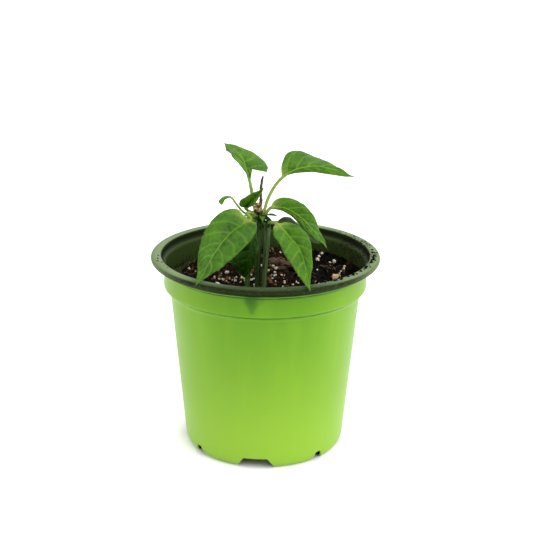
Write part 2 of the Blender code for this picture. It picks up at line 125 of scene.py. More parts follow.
# Stems: points on the centre line and the radius at each.
MAIN_STEM = (
    ((-4.4, -6.0, 74.0), 1.4),
    ((-4.4, -6.0, 95.0), 1.6),
    ((-4.2, -6.0, 109.0), 1.7),
    ((-4.0, -6.0, 122.0), 1.7),
    ((-4.1, -5.6, 131.5), 1.9),
    ((-4.2, -5.4, 136.5), 2.5),
    ((-4.4, -6.6, 139.8), 2.7),
    ((-4.7, -9.3, 143.2), 2.6),
)
RIGHT_STEM = (
    ((-1.0, -8.6, 76.0), 1.3),
    ((-0.8, -8.4, 96.0), 1.5),
    ((-0.3, -7.4, 109.5), 1.6),
    ((0.5, -6.6, 119.5), 1.7),
    ((0.8, -6.4, 129.0), 1.9),
    ((0.6, -6.4, 132.6), 1.6),
)
LEFT_STEM = (
    ((-10.6, -3.0, 76.0), 1.3),
    ((-10.4, -3.0, 94.0), 1.6),
    ((-9.8, -3.0, 103.0), 1.6),
    ((-8.7, -3.2, 115.0), 1.5),
    ((-7.9, -3.7, 125.0), 1.4),
    ((-7.5, -4.1, 131.0), 1.1),
)
DRIED_SHOOT = (
    ((-3.3, -3.6, 138.4), 0.8),
    ((-2.8, -2.2, 143.8), 0.9),
    ((-3.0, -1.8, 149.8), 0.8),
    ((-2.6, -1.8, 154.0), 0.8),
    ((-1.8, -2.0, 158.3), 0.6),
)
STEM_CORNERS = 30
STEM_SPAN_STEPS = 14
STUB_FOOT = 140.2        # above this the main stem is bare, cut wood
STUB_HOLLOW = ((0.86, -0.25), (0.66, 0.1), (0.52, 0.9), (0.4, 2.0))    # (share of the radius, depth)

# Leaves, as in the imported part. Many of the figures came from separate measuring and fitting programs;
# they aren't worked out from a few driving dimensions.
# stalk: from the stem to the foot of the blade; midrib: on to the tip.
# left, right: (greatest half width, foot exponent, tip exponent) of each half.
# roll, fold: degrees at the foot, the middle and the tip of the blade.
# A lobe: which half, where along the blade it starts, how deep its step is, how far it hooks back.
LEAVES = {
    "upper_left_leaf": dict(
        stalk=((-5.6, -3.6, 138.9), (-6.9, -1.4, 141.8), (-7.7, -0.6, 147.0), (-8.8, 0.0, 153.0)),
        midrib=((-10.2, 4.0, 157.0), (-11.7, 9.0, 160.3), (-13.5, 14.0, 164.3),
                (-16.5, 18.0, 167.0), (-20.5, 22.0, 169.2), (-24.3, 25.0, 170.8)),
        left=(9.5, 1.2, 1.15), right=(12.8, 1.3, 1.5), roll=(15, 15, -10), fold=(50, 15, -5),
        stalk_radius=1.0),
    "upper_right_leaf": dict(
        stalk=((-2.2, -5.4, 137.9), (-0.6, -3.9, 140.1), (1.0, -1.0, 144.8), (4.6, 2.5, 151.0),
               (8.5, 4.0, 155.5)),
        midrib=((13.0, 4.0, 159.0), (19.0, 4.0, 161.5), (28.0, 3.0, 163.0), (37.0, 1.0, 161.5),
                (49.5, -3.0, 158.5)),
        left=(14.7, 1.34, 2.47), right=(3.6, 1.18, 1.06), roll=(87, 34, 73), fold=(29, -28, 21),
        stalk_radius=0.9),
    "arching_right_leaf": dict(
        stalk=((-3.2, -5.4, 134.2), (-0.9, -5.0, 136.2), (3.0, -4.0, 140.8)),
        midrib=((10.0, -6.0, 141.2), (17.0, -8.0, 138.3), (23.7, -10.0, 132.5),
                (30.5, -12.0, 125.0), (35.0, -14.0, 119.2)),
        left=(6.7, 0.41, 0.76), right=(3.4, 0.61, 0.48), roll=(80, 65, -37), fold=(-9, -14, 4),
        stalk_radius=0.9),
    "front_left_leaf": dict(
        stalk=((-5.4, -7.2, 136.8), (-8.2, -9.6, 139.4), (-10.2, -12.2, 139.4), (-8.5, -14.0, 136.5)),
        midrib=((-14.0, -20.0, 134.5), (-18.5, -26.0, 132.8), (-23.7, -34.0, 129.0),
                (-28.5, -42.0, 123.7), (-32.7, -50.0, 117.6), (-36.6, -57.0, 112.7)),
        left=(16.2, 0.71, 1.45), right=(12.9, 0.39, 1.13), roll=(-21, -12, -31), fold=(35, 13, 8),
        stalk_radius=1.1),
    "front_right_leaf": dict(
        stalk=((0.6, -7.0, 132.0), (2.4, -11.0, 134.0), (6.0, -17.0, 135.2)),
        midrib=((10.0, -22.0, 133.0), (13.5, -28.0, 130.3), (17.3, -34.0, 127.7),
                (20.0, -42.0, 124.0), (22.0, -53.0, 118.3), (23.6, -64.0, 113.0)),
        left=(8.2, 0.61, 1.49), right=(10.7, 0.63, 1.11), roll=(9, 17, 1), fold=(17, 25, 7),
        stalk_radius=1.0),
    "back_right_leaf": dict(
        stalk=((0.8, -6.0, 131.5), (2.8, -4.0, 132.4), (5.5, -2.0, 131.5)),
        midrib=((12.8, 2.0, 130.7), (19.2, 5.0, 126.0), (25.6, 7.0, 120.7), (31.4, 8.0, 116.3)),
        left=(5.7, 1.0, 0.8), right=(7.0, 0.95, 0.8), roll=(70, 35, 10), fold=(-15, -15, -15),
        stalk_radius=0.8),
    "small_top_leaf": dict(
        stalk=((-5.8, -5.6, 138.2), (-9.0, -4.8, 138.8), (-11.6, -5.8, 141.0)),
        midrib=((-9.2, -8.2, 143.8), (-6.0, -9.8, 148.1), (-3.4, -11.0, 151.9), (-1.0, -12.0, 155.0)),
        left=(6.8, 0.7, 1.7), right=(4.4, 0.75, 1.2), roll=(105, 90, 115), fold=(70, 50, 50),
        stalk_radius=0.7),
    "curled_left_leaf": dict(
        stalk=((-5.0, -5.2, 136.0), (-8.2, -6.0, 136.8), (-12.6, -8.4, 139.4), (-16.8, -10.4, 145.2),
               (-18.7, -10.2, 147.8)),
        midrib=((-20.7, -10.0, 148.7), (-22.8, -12.0, 149.0), (-24.5, -14.0, 147.7),
                (-24.3, -15.0, 145.7), (-23.5, -15.0, 144.9)),
        left=(2.4, 0.9, 0.9), right=(2.4, 0.6, 0.9), roll=(-15, 5, 15), fold=(0, -15, 15),
        stalk_radius=0.6),
    "hanging_leaf": dict(
        stalk=((-4.4, -6.2, 134.5), (-5.0, -9.0, 135.2), (-5.7, -11.0, 133.5)),
        midrib=((-7.0, -14.0, 128.5), (-8.3, -15.0, 121.5), (-9.5, -14.0, 114.0),
                (-10.8, -12.4, 107.5), (-12.0, -10.4, 101.5)),
        left=(5.0, 1.0, 0.9), right=(10.5, 1.25, 0.95), roll=(-40, -105, -120), fold=(5, 5, 30),
        stalk_radius=0.8),
    "axil_leaf_front": dict(
        stalk=((-3.6, -6.8, 136.0), (-3.2, -8.6, 136.6), (-3.0, -9.8, 137.0)),
        midrib=((-2.4, -11.6, 136.6), (-1.6, -13.0, 135.0)),
        left=(2.0, 0.6, 1.2), right=(2.0, 0.6, 1.2), roll=(-20, -20, -20), fold=(40, 30, 10),
        stalk_radius=0.5),
    "axil_leaf_right": dict(
        stalk=((-3.2, -6.2, 134.2), (-1.6, -7.2, 134.6), (-0.4, -8.0, 135.2)),
        midrib=((0.8, -8.6, 135.8), (2.0, -9.0, 135.8)),
        left=(1.4, 0.6, 1.2), right=(1.4, 0.6, 1.2), roll=(40, 40, 40), fold=(40, 30, 10),
        stalk_radius=0.5),
    "axil_leaf_lower": dict(
        stalk=((-3.6, -6.4, 132.8), (-3.0, -7.8, 133.2), (-2.4, -9.2, 133.8)),
        midrib=((-1.4, -10.6, 133.4), (-0.6, -11.4, 132.0)),
        left=(1.4, 0.6, 1.2), right=(1.4, 0.6, 1.2), roll=(-10, -10, -10), fold=(40, 30, 10),
        stalk_radius=0.5),
    "narrow_leaf": dict(
        stalk=((-2.6, -6.4, 136.0), (-0.8, -7.6, 137.2), (0.9, -8.4, 138.0)),
        midrib=((3.7, -10.0, 138.2), (7.0, -12.0, 138.1)),
        left=(1.1, 0.6, 1.2), right=(1.1, 0.6, 1.2), roll=(20, 20, 20), fold=(20, 20, 10),
        stalk_radius=0.5),
}
DEEP_LEAVES = ("back_right_leaf", "small_top_leaf", "curled_left_leaf", "hanging_leaf", "narrow_leaf",
               "axil_leaf_lower")
YOUNG_LEAF_WIDTH = 3.0   # narrower leaves than this have no relief
LEAF_LOBES = {"upper_left_leaf": ("right", 0.3, 0.68, 5.0)}
FOLD_START = 0.04
STALK_STEPS = 22
BLADE_STEPS = 84
LEAF_COLUMNS = 14        # on each side of the midrib
COLUMN_CROWDING = 1.7    # above 1 crowds the columns towards the midrib
BLADE_HALF_THICKNESS = 0.16
RIB_TAPER = 0.75
VEIN_PAIRS = 6.5
VEIN_SWEEP = 0.2
VEIN_BEND = 1.3
PUCKER = 0.55
BLADE_ARCH = 0.05
MARGIN_WAVE = 0.5
MARGIN_NICKS = ((7.0, 0.06), (20.0, 0.03))     # (waves along the blade, share of its width)
TOP_RIB = 0.42           # the midrib's width above the blade, as a share of its width below

# Tiny leaves at the node.
TUFT_GROWTH = 1.2
LEAFLET_STEPS = 8
LEAFLET_SECTION = (      # round one leaflet: (upper or lower side, how far out)
    (1, 1.0), (1, 0.5), (1, 0.0), (1, -0.5), (1, -1.0), (-1, -0.5), (-1, 0.0), (-1, 0.5),
)

# Tiny leaves crowded round the node: (foot, way it points, length, half width).
TUFT = (
    ((-5.6, -7.6, 135.6), (-0.6, -0.7, -0.5), 4.2, 1.1),
    ((-5.0, -8.2, 134.0), (-0.5, -0.6, -0.9), 4.0, 1.0),
    ((-4.4, -8.4, 136.6), (-0.2, -1.0, 0.3), 3.2, 1.0),
    ((-3.4, -8.2, 135.2), (0.3, -0.9, -0.6), 3.8, 1.1),
    ((-3.0, -8.0, 133.6), (0.1, -0.6, -1.0), 3.4, 0.9),
    ((-2.0, -7.8, 134.6), (0.7, -0.7, -0.4), 4.0, 1.0),
    ((-1.6, -7.4, 136.2), (0.9, -0.5, 0.2), 4.4, 0.9),
    ((-0.6, -7.6, 133.4), (0.8, -0.6, -0.7), 3.6, 0.9),
    ((0.2, -7.8, 132.6), (0.9, -0.6, 0.4), 3.4, 0.8),
    ((-4.8, -7.4, 132.6), (-0.8, -0.5, -0.2), 3.6, 0.9),
    ((-5.8, -6.8, 134.2), (-1.0, -0.3, 0.3), 3.8, 1.0),
    ((-3.8, -4.6, 135.4), (-0.2, 0.9, 0.6), 4.4, 1.1),
    ((-2.2, -4.6, 133.8), (0.6, 0.9, 0.1), 4.2, 1.0),
    ((-5.4, -4.8, 134.0), (-0.7, 0.8, 0.1), 4.0, 1.0),
    ((-1.2, -5.2, 135.8), (0.8, 0.3, 0.8), 3.6, 0.8),
    ((-3.6, -8.6, 137.6), (0.2, -0.8, 0.9), 2.6, 0.8),
    ((-1.4, -7.6, 137.0), (0.9, -0.6, -0.3), 3.6, 1.0),
    ((-0.8, -7.2, 135.2), (1.0, -0.3, -0.2), 4.2, 1.0),
    ((0.0, -7.4, 134.2), (0.9, -0.7, -0.5), 3.4, 0.9),
    ((-2.4, -8.4, 137.2), (0.5, -0.9, -0.2), 3.0, 1.1),
    ((-4.2, -8.6, 134.8), (0.1, -1.0, -0.4), 3.2, 1.2),
    ((-2.6, -8.4, 132.4), (0.3, -0.7, -0.9), 3.4, 1.0),
)

# Two pale wings where the front left leaf's stalk meets the stem.
STIPULES = (
    ((-5.4, -7.6, 137.0), (-1.0, -0.5, 0.25), 6.4, 1.9),
    ((-5.2, -8.0, 135.6), (-0.8, -0.6, -0.1), 5.0, 1.6),
)


# ---------------------------------------------------------------- shader helpers

def paint(red, green, blue):
    """A colour given as it looks on a screen, 0 to 255, as the light values that a shader takes."""
    return (*[(part / 255 / 12.92) if part <= 10 else ((part / 255 + 0.055) / 1.055) ** 2.4
              for part in (red, green, blue)], 1.0)


def node(tree, kind, *sources, **settings):
    """A new shader node; sources fill its inputs in order, as links or as plain values."""
    made = tree.nodes.new("ShaderNode" + kind)
    for name, value in settings.items():
        setattr(made, name, value)
    for socket, source in zip(made.inputs, sources):
        join(tree, source, socket)
    return made


def join(tree, source, socket):
    if isinstance(source, bpy.types.NodeSocket):
        tree.links.new(source, socket)
    elif source is not None:
        socket.default_value = source


def maths(tree, operation, first, second=0.0, clamp=False):
    return node(tree, "Math", first, second, operation=operation, use_clamp=clamp).outputs[0]


def blend(tree, share, first, second, how="MIX"):
    """The first colour turned into the second by the share."""
    made = node(tree, "Mix", data_type="RGBA", blend_type=how)
    for name, source in (("Factor_Float", share), ("A_Color", first), ("B_Color", second)):
        socket = next(item for item in made.inputs if item.identifier == name)
        join(tree, source, socket)
    return next(item for item in made.outputs if item.identifier == "Result_Color")


def stretch(tree, value, low, high, to_low=0.0, to_high=1.0):
    """Value from low..high eased on to to_low..to_high and held there."""
    made = node(tree, "MapRange", value, low, high, to_low, to_high, interpolation_type="SMOOTHSTEP")
    return made.outputs[0]


def line_at(tree, value, level, spread):
    """A soft line where value is at level."""
    off = maths(tree, "ABSOLUTE", maths(tree, "SUBTRACT", value, level))
    return stretch(tree, off, 0.0, spread, 1.0, 0.0)


def place(tree):
    return node(tree, "TexCoord").outputs["Object"]


def squeezed(tree, where, scale):
    return node(tree, "Mapping", where, (0.0, 0.0, 0.0), (0.0, 0.0, 0.0), scale).outputs[0]


def grain(tree, where, size, detail=3.0, roughness=0.55):
    """Cloudy noise, 0 to 1, with patches about size millimetres across."""
    made = node(tree, "TexNoise")
    join(tree, where, made.inputs["Vector"])
    made.inputs["Scale"].default_value = 1.0 / (size * MM)
    made.inputs["Detail"].default_value = detail
    made.inputs["Roughness"].default_value = roughness
    return made.outputs["Fac"]


def height_of(tree, where):
    """Height above the ground in millimetres."""
    return maths(tree, "MULTIPLY", node(tree, "SeparateXYZ", where).outputs["Z"], 1 / MM)


def in_millimetres(tree, where):
    """The place's X, Y and Z in millimetres."""
    return node(tree, "SeparateXYZ", squeezed(tree, where, (1.0 / MM, 1.0 / MM, 1.0 / MM))).outputs


def distance_from_axis(tree, where):
    """Distance from the pot's axis in millimetres."""
    flat = squeezed(tree, where, (1.0 / MM, 1.0 / MM, 0.0))
    return node(tree, "VectorMath", flat, operation="LENGTH").outputs["Value"]


def held(tree, name):
    """A value kept on the points of the piece itself."""
    return node(tree, "Attribute", attribute_name=name, attribute_type="GEOMETRY").outputs["Fac"]


def bumped(tree, height, depth, distance):
    made = node(tree, "Bump")
    made.inputs["Strength"].default_value = depth
    made.inputs["Distance"].default_value = distance * MM
    join(tree, height, made.inputs["Height"])
    return made.outputs["Normal"]


def new_finish(name):
    """A material with nothing but its Principled shader; returns material, tree and shader."""
    finish = bpy.data.materials.new(name)
    finish.use_nodes = True
    tree = finish.node_tree
    return finish, tree, tree.nodes["Principled BSDF"]


def new_group(name, inputs, outputs):
    """An empty node group with the given (name, kind, value) inputs and (name, kind) outputs."""
    tree = bpy.data.node_groups.new(name, "ShaderNodeTree")
    for label, kind, value in inputs:
        socket = tree.interface.new_socket(label, in_out="INPUT", socket_type="NodeSocket" + kind)
        if value is not None:
            socket.default_value = value
    for label, kind in outputs:
        tree.interface.new_socket(label, in_out="OUTPUT", socket_type="NodeSocket" + kind)
    return tree, tree.nodes.new("NodeGroupInput").outputs, tree.nodes.new("NodeGroupOutput").inputs


def use_group(tree, group, **values):
    made = node(tree, "Group", node_tree=group)
    for name, value in values.items():
        join(tree, value, made.inputs[name.replace("_", " ")])
    return made.outputs


# ---------------------------------------------------------------- shared surface effects

def make_mottle():
    """Two sizes of cloudy patches, as a mask from 0 to 1."""
    tree, given, made = new_group(
        "patchy colour",
        (("Where", "Vector", None), ("Large", "Float", 40.0), ("Small", "Float", 200.0),
         ("Contrast", "Float", 1.0)),
        (("Mask", "Float"),))
    large = node(tree, "TexNoise", given["Where"])
    join(tree, given["Large"], large.inputs["Scale"])
    large.inputs["Detail"].default_value = 2.0
    small = node(tree, "TexNoise", given["Where"])
    join(tree, given["Small"], small.inputs["Scale"])
    small.inputs["Detail"].default_value = 4.0
    both = maths(tree, "ADD", large.outputs["Fac"], maths(tree, "MULTIPLY", small.outputs["Fac"], 0.5))
    centred = maths(tree, "MULTIPLY", maths(tree, "SUBTRACT", both, 0.75), given["Contrast"])
    join(tree, maths(tree, "ADD", centred, 0.5, clamp=True), made["Mask"])
    return tree


def make_soil_dust():
    """Specks and smears of dried soil, as a mask that grows with the amount."""
    tree, given, made = new_group(
        "soil dust",
        (("Where", "Vector", None), ("Amount", "Float", 0.5)),
        (("Mask", "Float"),))
    smear = grain(tree, given["Where"], 7.0, 5.0, 0.7)
    speck = grain(tree, given["Where"], 0.9, 2.0, 0.6)
    limit = maths(tree, "SUBTRACT", 0.86, maths(tree, "MULTIPLY", given["Amount"], 0.45))
    smears = stretch(tree, maths(tree, "SUBTRACT", smear, limit), 0.0, 0.12)
    specks = stretch(tree, maths(tree, "SUBTRACT", speck, limit), -0.02, 0.04)
    join(tree, maths(tree, "MAXIMUM", smears, specks), made["Mask"])
    return tree


def make_fine_skin():
    """A fine pebbled relief, as a height for a bump."""
    tree, given, made = new_group(
        "fine skin",
        (("Where", "Vector", None), ("Cells", "Float", 900.0), ("Softness", "Float", 0.5)),
        (("Height", "Float"),))
    cells = node(tree, "TexVoronoi", given["Where"], feature="SMOOTH_F1")
    join(tree, given["Cells"], cells.inputs["Scale"])
    cloud = node(tree, "TexNoise", given["Where"])
    join(tree, given["Cells"], cloud.inputs["Scale"])
    soft = maths(tree, "MULTIPLY", cloud.outputs["Fac"], given["Softness"])
    join(tree, maths(tree, "ADD", cells.outputs["Distance"], soft), made["Height"])
    return tree


def make_leaf_veins():
    """Side veins that leave the midrib in turn, left and right, and bend towards the tip."""
    tree, given, made = new_group(
        "leaf veins",
        (("Along", "Float", 0.0), ("Across", "Float", 0.0), ("Waver", "Float", 0.5),
         ("Width", "Float", 0.05)),
        (("Veins", "Float"), ("Between", "Float")))
    out = maths(tree, "ABSOLUTE", given["Across"])
    swept = maths(tree, "MULTIPLY", maths(tree, "POWER", out, VEIN_BEND), VEIN_SWEEP)
    wander = maths(tree, "MULTIPLY", maths(tree, "SUBTRACT", given["Waver"], 0.5), 0.05)
    along = maths(tree, "ADD", maths(tree, "SUBTRACT", given["Along"], swept), wander)
    turn = maths(tree, "MULTIPLY", maths(tree, "LESS_THAN", given["Across"], 0.0), 0.5)
    phase = maths(tree, "ADD", maths(tree, "MULTIPLY", along, VEIN_PAIRS), turn)
    gap = maths(tree, "ABSOLUTE", maths(tree, "SUBTRACT", maths(tree, "FRACT", phase), 0.5))
    near = maths(tree, "SUBTRACT", 0.5, gap)
    line = maths(tree, "SUBTRACT", 1.0, stretch(tree, near, 0.0, given["Width"]))
    fade = stretch(tree, out, 0.25, 1.0, 1.0, 0.15)
    join(tree, maths(tree, "MULTIPLY", line, fade), made["Veins"])
    join(tree, maths(tree, "MULTIPLY", near, 2.0), made["Between"])
    return tree


MOTTLE = make_mottle()
SOIL_DUST = make_soil_dust()
FINE_SKIN = make_fine_skin()
LEAF_VEINS = make_leaf_veins()


# ---------------------------------------------------------------- finishes

LIME_LOW = paint(86, 136, 12)
LIME_HIGH = paint(94, 144, 18)
LIME_PAINTED_BOUNCE = paint(134, 175, 46)
LIME_PAINTED_SHEEN = paint(128, 172, 34)
LIME_PAINTED_CREASE_SHADE = paint(34, 74, 2)
LIME_PAINTED_REFLECTION = paint(40, 88, 0)
REFLECTION_MIDDLE = -6.9      # a painted dark reflection down the front of the collar
REFLECTION_WIDTH = 6.0
REFLECTION_TOP = 106.0
REFLECTION_FOOT = 95.5
OLIVE_LOW = paint(52, 68, 28)
OLIVE_HIGH = paint(64, 82, 38)
OLIVE_PAINTED_RIM_SHADE = paint(26, 42, 6)
OLIVE_PAINTED_NECK_SHADE = paint(22, 32, 8)
OLIVE_PAINTED_TOP_SHEEN = paint(120, 138, 100)
OLIVE_SCUFF_AND_SHEEN = paint(104, 124, 80)
OLIVE_SHADE = paint(6, 14, 2)


def lime_plastic():
    """Lime skin on the outside of the pot: painted floor light towards the foot, painted shade in its two
    creases, painted sheen on the sides and a painted dark reflection down the front.
    """
    finish, tree, shader = new_finish("lime pot plastic")
    where = place(tree)
    high = height_of(tree, where)
    ways = in_millimetres(tree, where)
    patches = use_group(tree, MOTTLE, Where=where, Large=22.0, Small=110.0, Contrast=0.7)["Mask"]
    colour = blend(tree, patches, LIME_LOW, LIME_HIGH)
    # painted floor light: lighter towards the foot
    colour = blend(tree, stretch(tree, high, 0.0, 100.0, 1.0, 0.0), colour, LIME_PAINTED_BOUNCE)
    # painted sheen: the upper wall paler on its left and right sides
    flank_sheen = maths(tree, "MULTIPLY", stretch(tree, maths(tree, "ABSOLUTE", ways["X"]), 15.0, 50.0, 0.0, 0.5),
                  stretch(tree, high, 25.0, 75.0))
    colour = blend(tree, flank_sheen, colour, LIME_PAINTED_SHEEN)
    # painted sheen: faint pale vertical streaks
    streaks = grain(tree, squeezed(tree, where, (1.0, 1.0, 0.12)), 9.0, 3.0)
    colour = blend(tree, stretch(tree, streaks, 0.45, 0.8, 0.0, 0.22), colour, LIME_PAINTED_SHEEN)
    # painted shade: broken dark lines in the creases at 94.4 and 105.9 mm
    broken = stretch(tree, grain(tree, where, 8.0, 3.0), 0.3, 0.55, 0.6, 1.0)
    crease_shade = maths(tree, "MAXIMUM", line_at(tree, high, 94.4, 0.9), line_at(tree, high, 105.9, 1.0))
    colour = blend(tree, maths(tree, "MULTIPLY", crease_shade, broken), colour, LIME_PAINTED_CREASE_SHADE)
    # painted reflection: a soft dark wedge down the front of the collar
    share = stretch(tree, ways["Z"], REFLECTION_FOOT, REFLECTION_TOP)
    off = maths(tree, "ABSOLUTE", maths(tree, "SUBTRACT", ways["X"], REFLECTION_MIDDLE))
    spread = maths(tree, "MULTIPLY", maths(tree, "ADD", share, 0.12), REFLECTION_WIDTH)
    ragged = maths(tree, "ADD", maths(tree, "DIVIDE", off, spread), grain(tree, where, 5.0, 3.0))
    smear = stretch(tree, ragged, 0.6, 1.6, 1.0, 0.0)
    smear = maths(tree, "MULTIPLY", smear, maths(tree, "LESS_THAN", ways["Y"], 0.0))
    smear = maths(tree, "MULTIPLY", smear, stretch(tree, ways["Z"], REFLECTION_FOOT, REFLECTION_FOOT + 3.0))
    smear = maths(tree, "MULTIPLY", smear, stretch(tree, ways["Z"], 107.0, 97.0, 0.9, 0.5))
    colour = blend(tree, smear, colour, LIME_PAINTED_REFLECTION)
    dust = use_group(tree, SOIL_DUST, Where=where, Amount=0.02)["Mask"]
    colour = blend(tree, maths(tree, "MULTIPLY", dust, 0.25), colour, paint(80, 100, 30))
    join(tree, colour, shader.inputs["Base Color"])
    join(tree, stretch(tree, patches, 0.0, 1.0, 0.32, 0.44), shader.inputs["Roughness"])
    skin = use_group(tree, FINE_SKIN, Where=where, Cells=350.0, Softness=0.8)["Height"]
    join(tree, bumped(tree, skin, 0.12, 0.1), shader.inputs["Normal"])
    shader.inputs["Specular IOR Level"].default_value = 0.2
    return finish


def olive_plastic():
    """Dark olive skin inside the pot and over its rim: scuffed on top, with soil dust low down; painted
    shade on the rim, a painted shadow under the lip, a painted highlight inside and painted sheen on the
    flange and lip.
    """
    finish, tree, shader = new_finish("olive pot plastic")
    where = place(tree)
    high = height_of(tree, where)
    reach = distance_from_axis(tree, where)
    across = in_millimetres(tree, where)
    patches = use_group(tree, MOTTLE, Where=where, Large=30.0, Small=300.0, Contrast=1.0)["Mask"]
    colour = blend(tree, patches, OLIVE_LOW, OLIVE_HIGH)
    # painted shade: the rim darker from just under the lip upwards
    colour = blend(tree, stretch(tree, high, 107.5, 109.5, 0.0, 0.85), colour, OLIVE_PAINTED_RIM_SHADE)
    # painted shade: a darker band below the flange, inside and on the outer lip
    neck_shade = maths(tree, "MULTIPLY", stretch(tree, high, 108.9, 109.8),
                 stretch(tree, high, 112.4, 112.9, 1.0, 0.0))
    colour = blend(tree, maths(tree, "MULTIPLY", neck_shade, 0.85), colour, OLIVE_PAINTED_NECK_SHADE)
    # painted highlight: a faint pale line round the inside at 108.6 mm
    ledge_highlight = maths(tree, "MULTIPLY", line_at(tree, high, 108.6, 1.0),
                  stretch(tree, reach, 59.0, 60.0, 1.0, 0.0))
    colour = blend(tree, maths(tree, "MULTIPLY", ledge_highlight, 0.15), colour, OLIVE_SCUFF_AND_SHEEN)
    # painted sheen: the flange top paler, faint at the front
    flange_sheen = maths(tree, "MULTIPLY", stretch(tree, high, 112.7, 113.2),
                  stretch(tree, across["Y"], -62.0, -38.0, 0.12, 1.0))
    colour = blend(tree, flange_sheen, colour, OLIVE_PAINTED_TOP_SHEEN)
    # painted sheen: the upper lip paler at the sides and back
    flanks = stretch(tree, across["Y"], -52.0, -22.0, 0.0, 0.75)
    lip = maths(tree, "MULTIPLY", stretch(tree, high, 110.6, 111.6), stretch(tree, reach, 62.0, 63.0))
    lip = maths(tree, "MULTIPLY", lip, flanks)
    colour = blend(tree, lip, colour, OLIVE_SCUFF_AND_SHEEN)
    # scuffs along the lip, with painted sheen: fainter towards the front
    streak = grain(tree, squeezed(tree, where, (1.0, 1.0, 9.0)), 2.4, 4.0, 0.7)
    scuff = maths(tree, "MULTIPLY", stretch(tree, streak, 0.5, 0.68, 0.0, 0.5),
                  stretch(tree, across["Y"], -64.0, -44.0, 0.4, 1.0))
    outer = stretch(tree, reach, 60.5, 62.0)
    colour = blend(tree, maths(tree, "MULTIPLY", scuff, outer), colour, OLIVE_SCUFF_AND_SHEEN)
    under = maths(tree, "MULTIPLY", stretch(tree, high, 110.2, 111.0, 0.97, 0.0), outer)
    colour = blend(tree, under, colour, OLIVE_SHADE)
    low = stretch(tree, high, 96.0, 107.0, 0.8, 0.1)
    dust = use_group(tree, SOIL_DUST, Where=where, Amount=low)["Mask"]
    spilt = maths(tree, "MULTIPLY", stretch(tree, across["X"], 30.0, 52.0),
                  stretch(tree, reach, 63.0, 59.5, 0.0, 1.0))
    crumbs = maths(tree, "MULTIPLY", stretch(tree, grain(tree, where, 1.1, 4.0), 0.47, 0.55),
                   stretch(tree, grain(tree, where, 7.0, 2.0), 0.35, 0.5))
    soiled = maths(tree, "MAXIMUM", dust, maths(tree, "MULTIPLY", spilt, crumbs))
    colour = blend(tree, maths(tree, "MULTIPLY", soiled, 0.85), colour, paint(26, 20, 12))
    join(tree, colour, shader.inputs["Base Color"])
    rough = blend(tree, soiled, (0.42, 0.42, 0.42, 1.0), (0.85, 0.85, 0.85, 1.0))
    join(tree, rough, shader.inputs["Roughness"])
    skin = use_group(tree, FINE_SKIN, Where=where, Cells=500.0, Softness=0.8)["Height"]
    raised = maths(tree, "ADD", maths(tree, "MULTIPLY", skin, 0.4), soiled)
    join(tree, bumped(tree, raised, 0.3, 0.2), shader.inputs["Normal"])
    shader.inputs["Specular IOR Level"].default_value = 0.06
    return finish


def potting_mix():
    """Moist black-brown peat: darker towards the right, with paler dry crumbs."""
    finish, tree, shader = new_finish("potting soil")
    where = place(tree)
    patches = use_group(tree, MOTTLE, Where=where, Large=160.0, Small=700.0, Contrast=1.6)["Mask"]
    colour = blend(tree, patches, paint(5, 3, 1), paint(30, 19, 11))
    tone = held(tree, "tone")
    colour = blend(tree, stretch(tree, tone, 0.35, 1.0, 0.0, 1.0), colour, paint(118, 86, 56))
    warm = stretch(tree, grain(tree, where, 3.0, 3.0), 0.55, 0.7, 0.0, 0.5)
    colour = blend(tree, warm, colour, paint(60, 36, 20))
    # darker towards the right
    darker_right = stretch(tree, node(tree, "SeparateXYZ", where).outputs["X"], 0.004, 0.024, 0.0, 0.9)
    colour = blend(tree, darker_right, colour, paint(5, 3, 2))
    join(tree, colour, shader.inputs["Base Color"])
    join(tree, stretch(tree, patches, 0.0, 1.0, 0.62, 0.95), shader.inputs["Roughness"])
    rough = use_group(tree, FINE_SKIN, Where=where, Cells=1100.0, Softness=1.5)["Height"]
    join(tree, bumped(tree, rough, 0.7, 0.4), shader.inputs["Normal"])
    shader.inputs["Specular IOR Level"].default_value = 0.05
    return finish


def crumb_stone(name, pale, dark, bare, cells, roughness=0.85):
    """A pale crumbly finish with darker pores: perlite, dry peat or bark, by its colours."""
    finish, tree, shader = new_finish(name)
    where = place(tree)
    patches = use_group(tree, MOTTLE, Where=where, Large=300.0, Small=cells, Contrast=1.4)["Mask"]
    colour = blend(tree, patches, pale, dark)
    tone = held(tree, "tone")
    colour = blend(tree, stretch(tree, tone, 0.55, 1.0, 0.0, 0.75), colour, bare)
    join(tree, colour, shader.inputs["Base Color"])
    join(tree, stretch(tree, patches, 0.0, 1.0, roughness - 0.15, roughness), shader.inputs["Roughness"])
    rough = use_group(tree, FINE_SKIN, Where=where, Cells=cells, Softness=1.2)["Height"]
    join(tree, bumped(tree, rough, 0.6, 0.25), shader.inputs["Normal"])
    return finish


def stem_skin(name, green, ridge, brown):
    """Green stem bark: paler ridges along its length and brown, corky scars at the nodes."""
    finish, tree, shader = new_finish(name)
    where = place(tree)
    stripes = grain(tree, squeezed(tree, where, (1.0, 1.0, 0.06)), 0.7, 3.0)
    colour = blend(tree, stretch(tree, stripes, 0.4, 0.65), green, ridge)
    colour = blend(tree, stretch(tree, held(tree, "ridge"), 0.3, 1.0, 0.0, 0.6), colour, ridge)
    scar = maths(tree, "MULTIPLY", stretch(tree, grain(tree, where, 1.6, 4.0), 0.45, 0.6),
                 held(tree, "scar"))
    colour = blend(tree, scar, colour, brown)
    join(tree, colour, shader.inputs["Base Color"])
    join(tree, stretch(tree, stripes, 0.3, 0.7, 0.38, 0.55), shader.inputs["Roughness"])
    rough = use_group(tree, FINE_SKIN, Where=squeezed(tree, where, (1.0, 1.0, 0.25)), Cells=900.0,
                      Softness=1.0)["Height"]
    join(tree, bumped(tree, rough, 0.3, 0.12), shader.inputs["Normal"])
    return finish


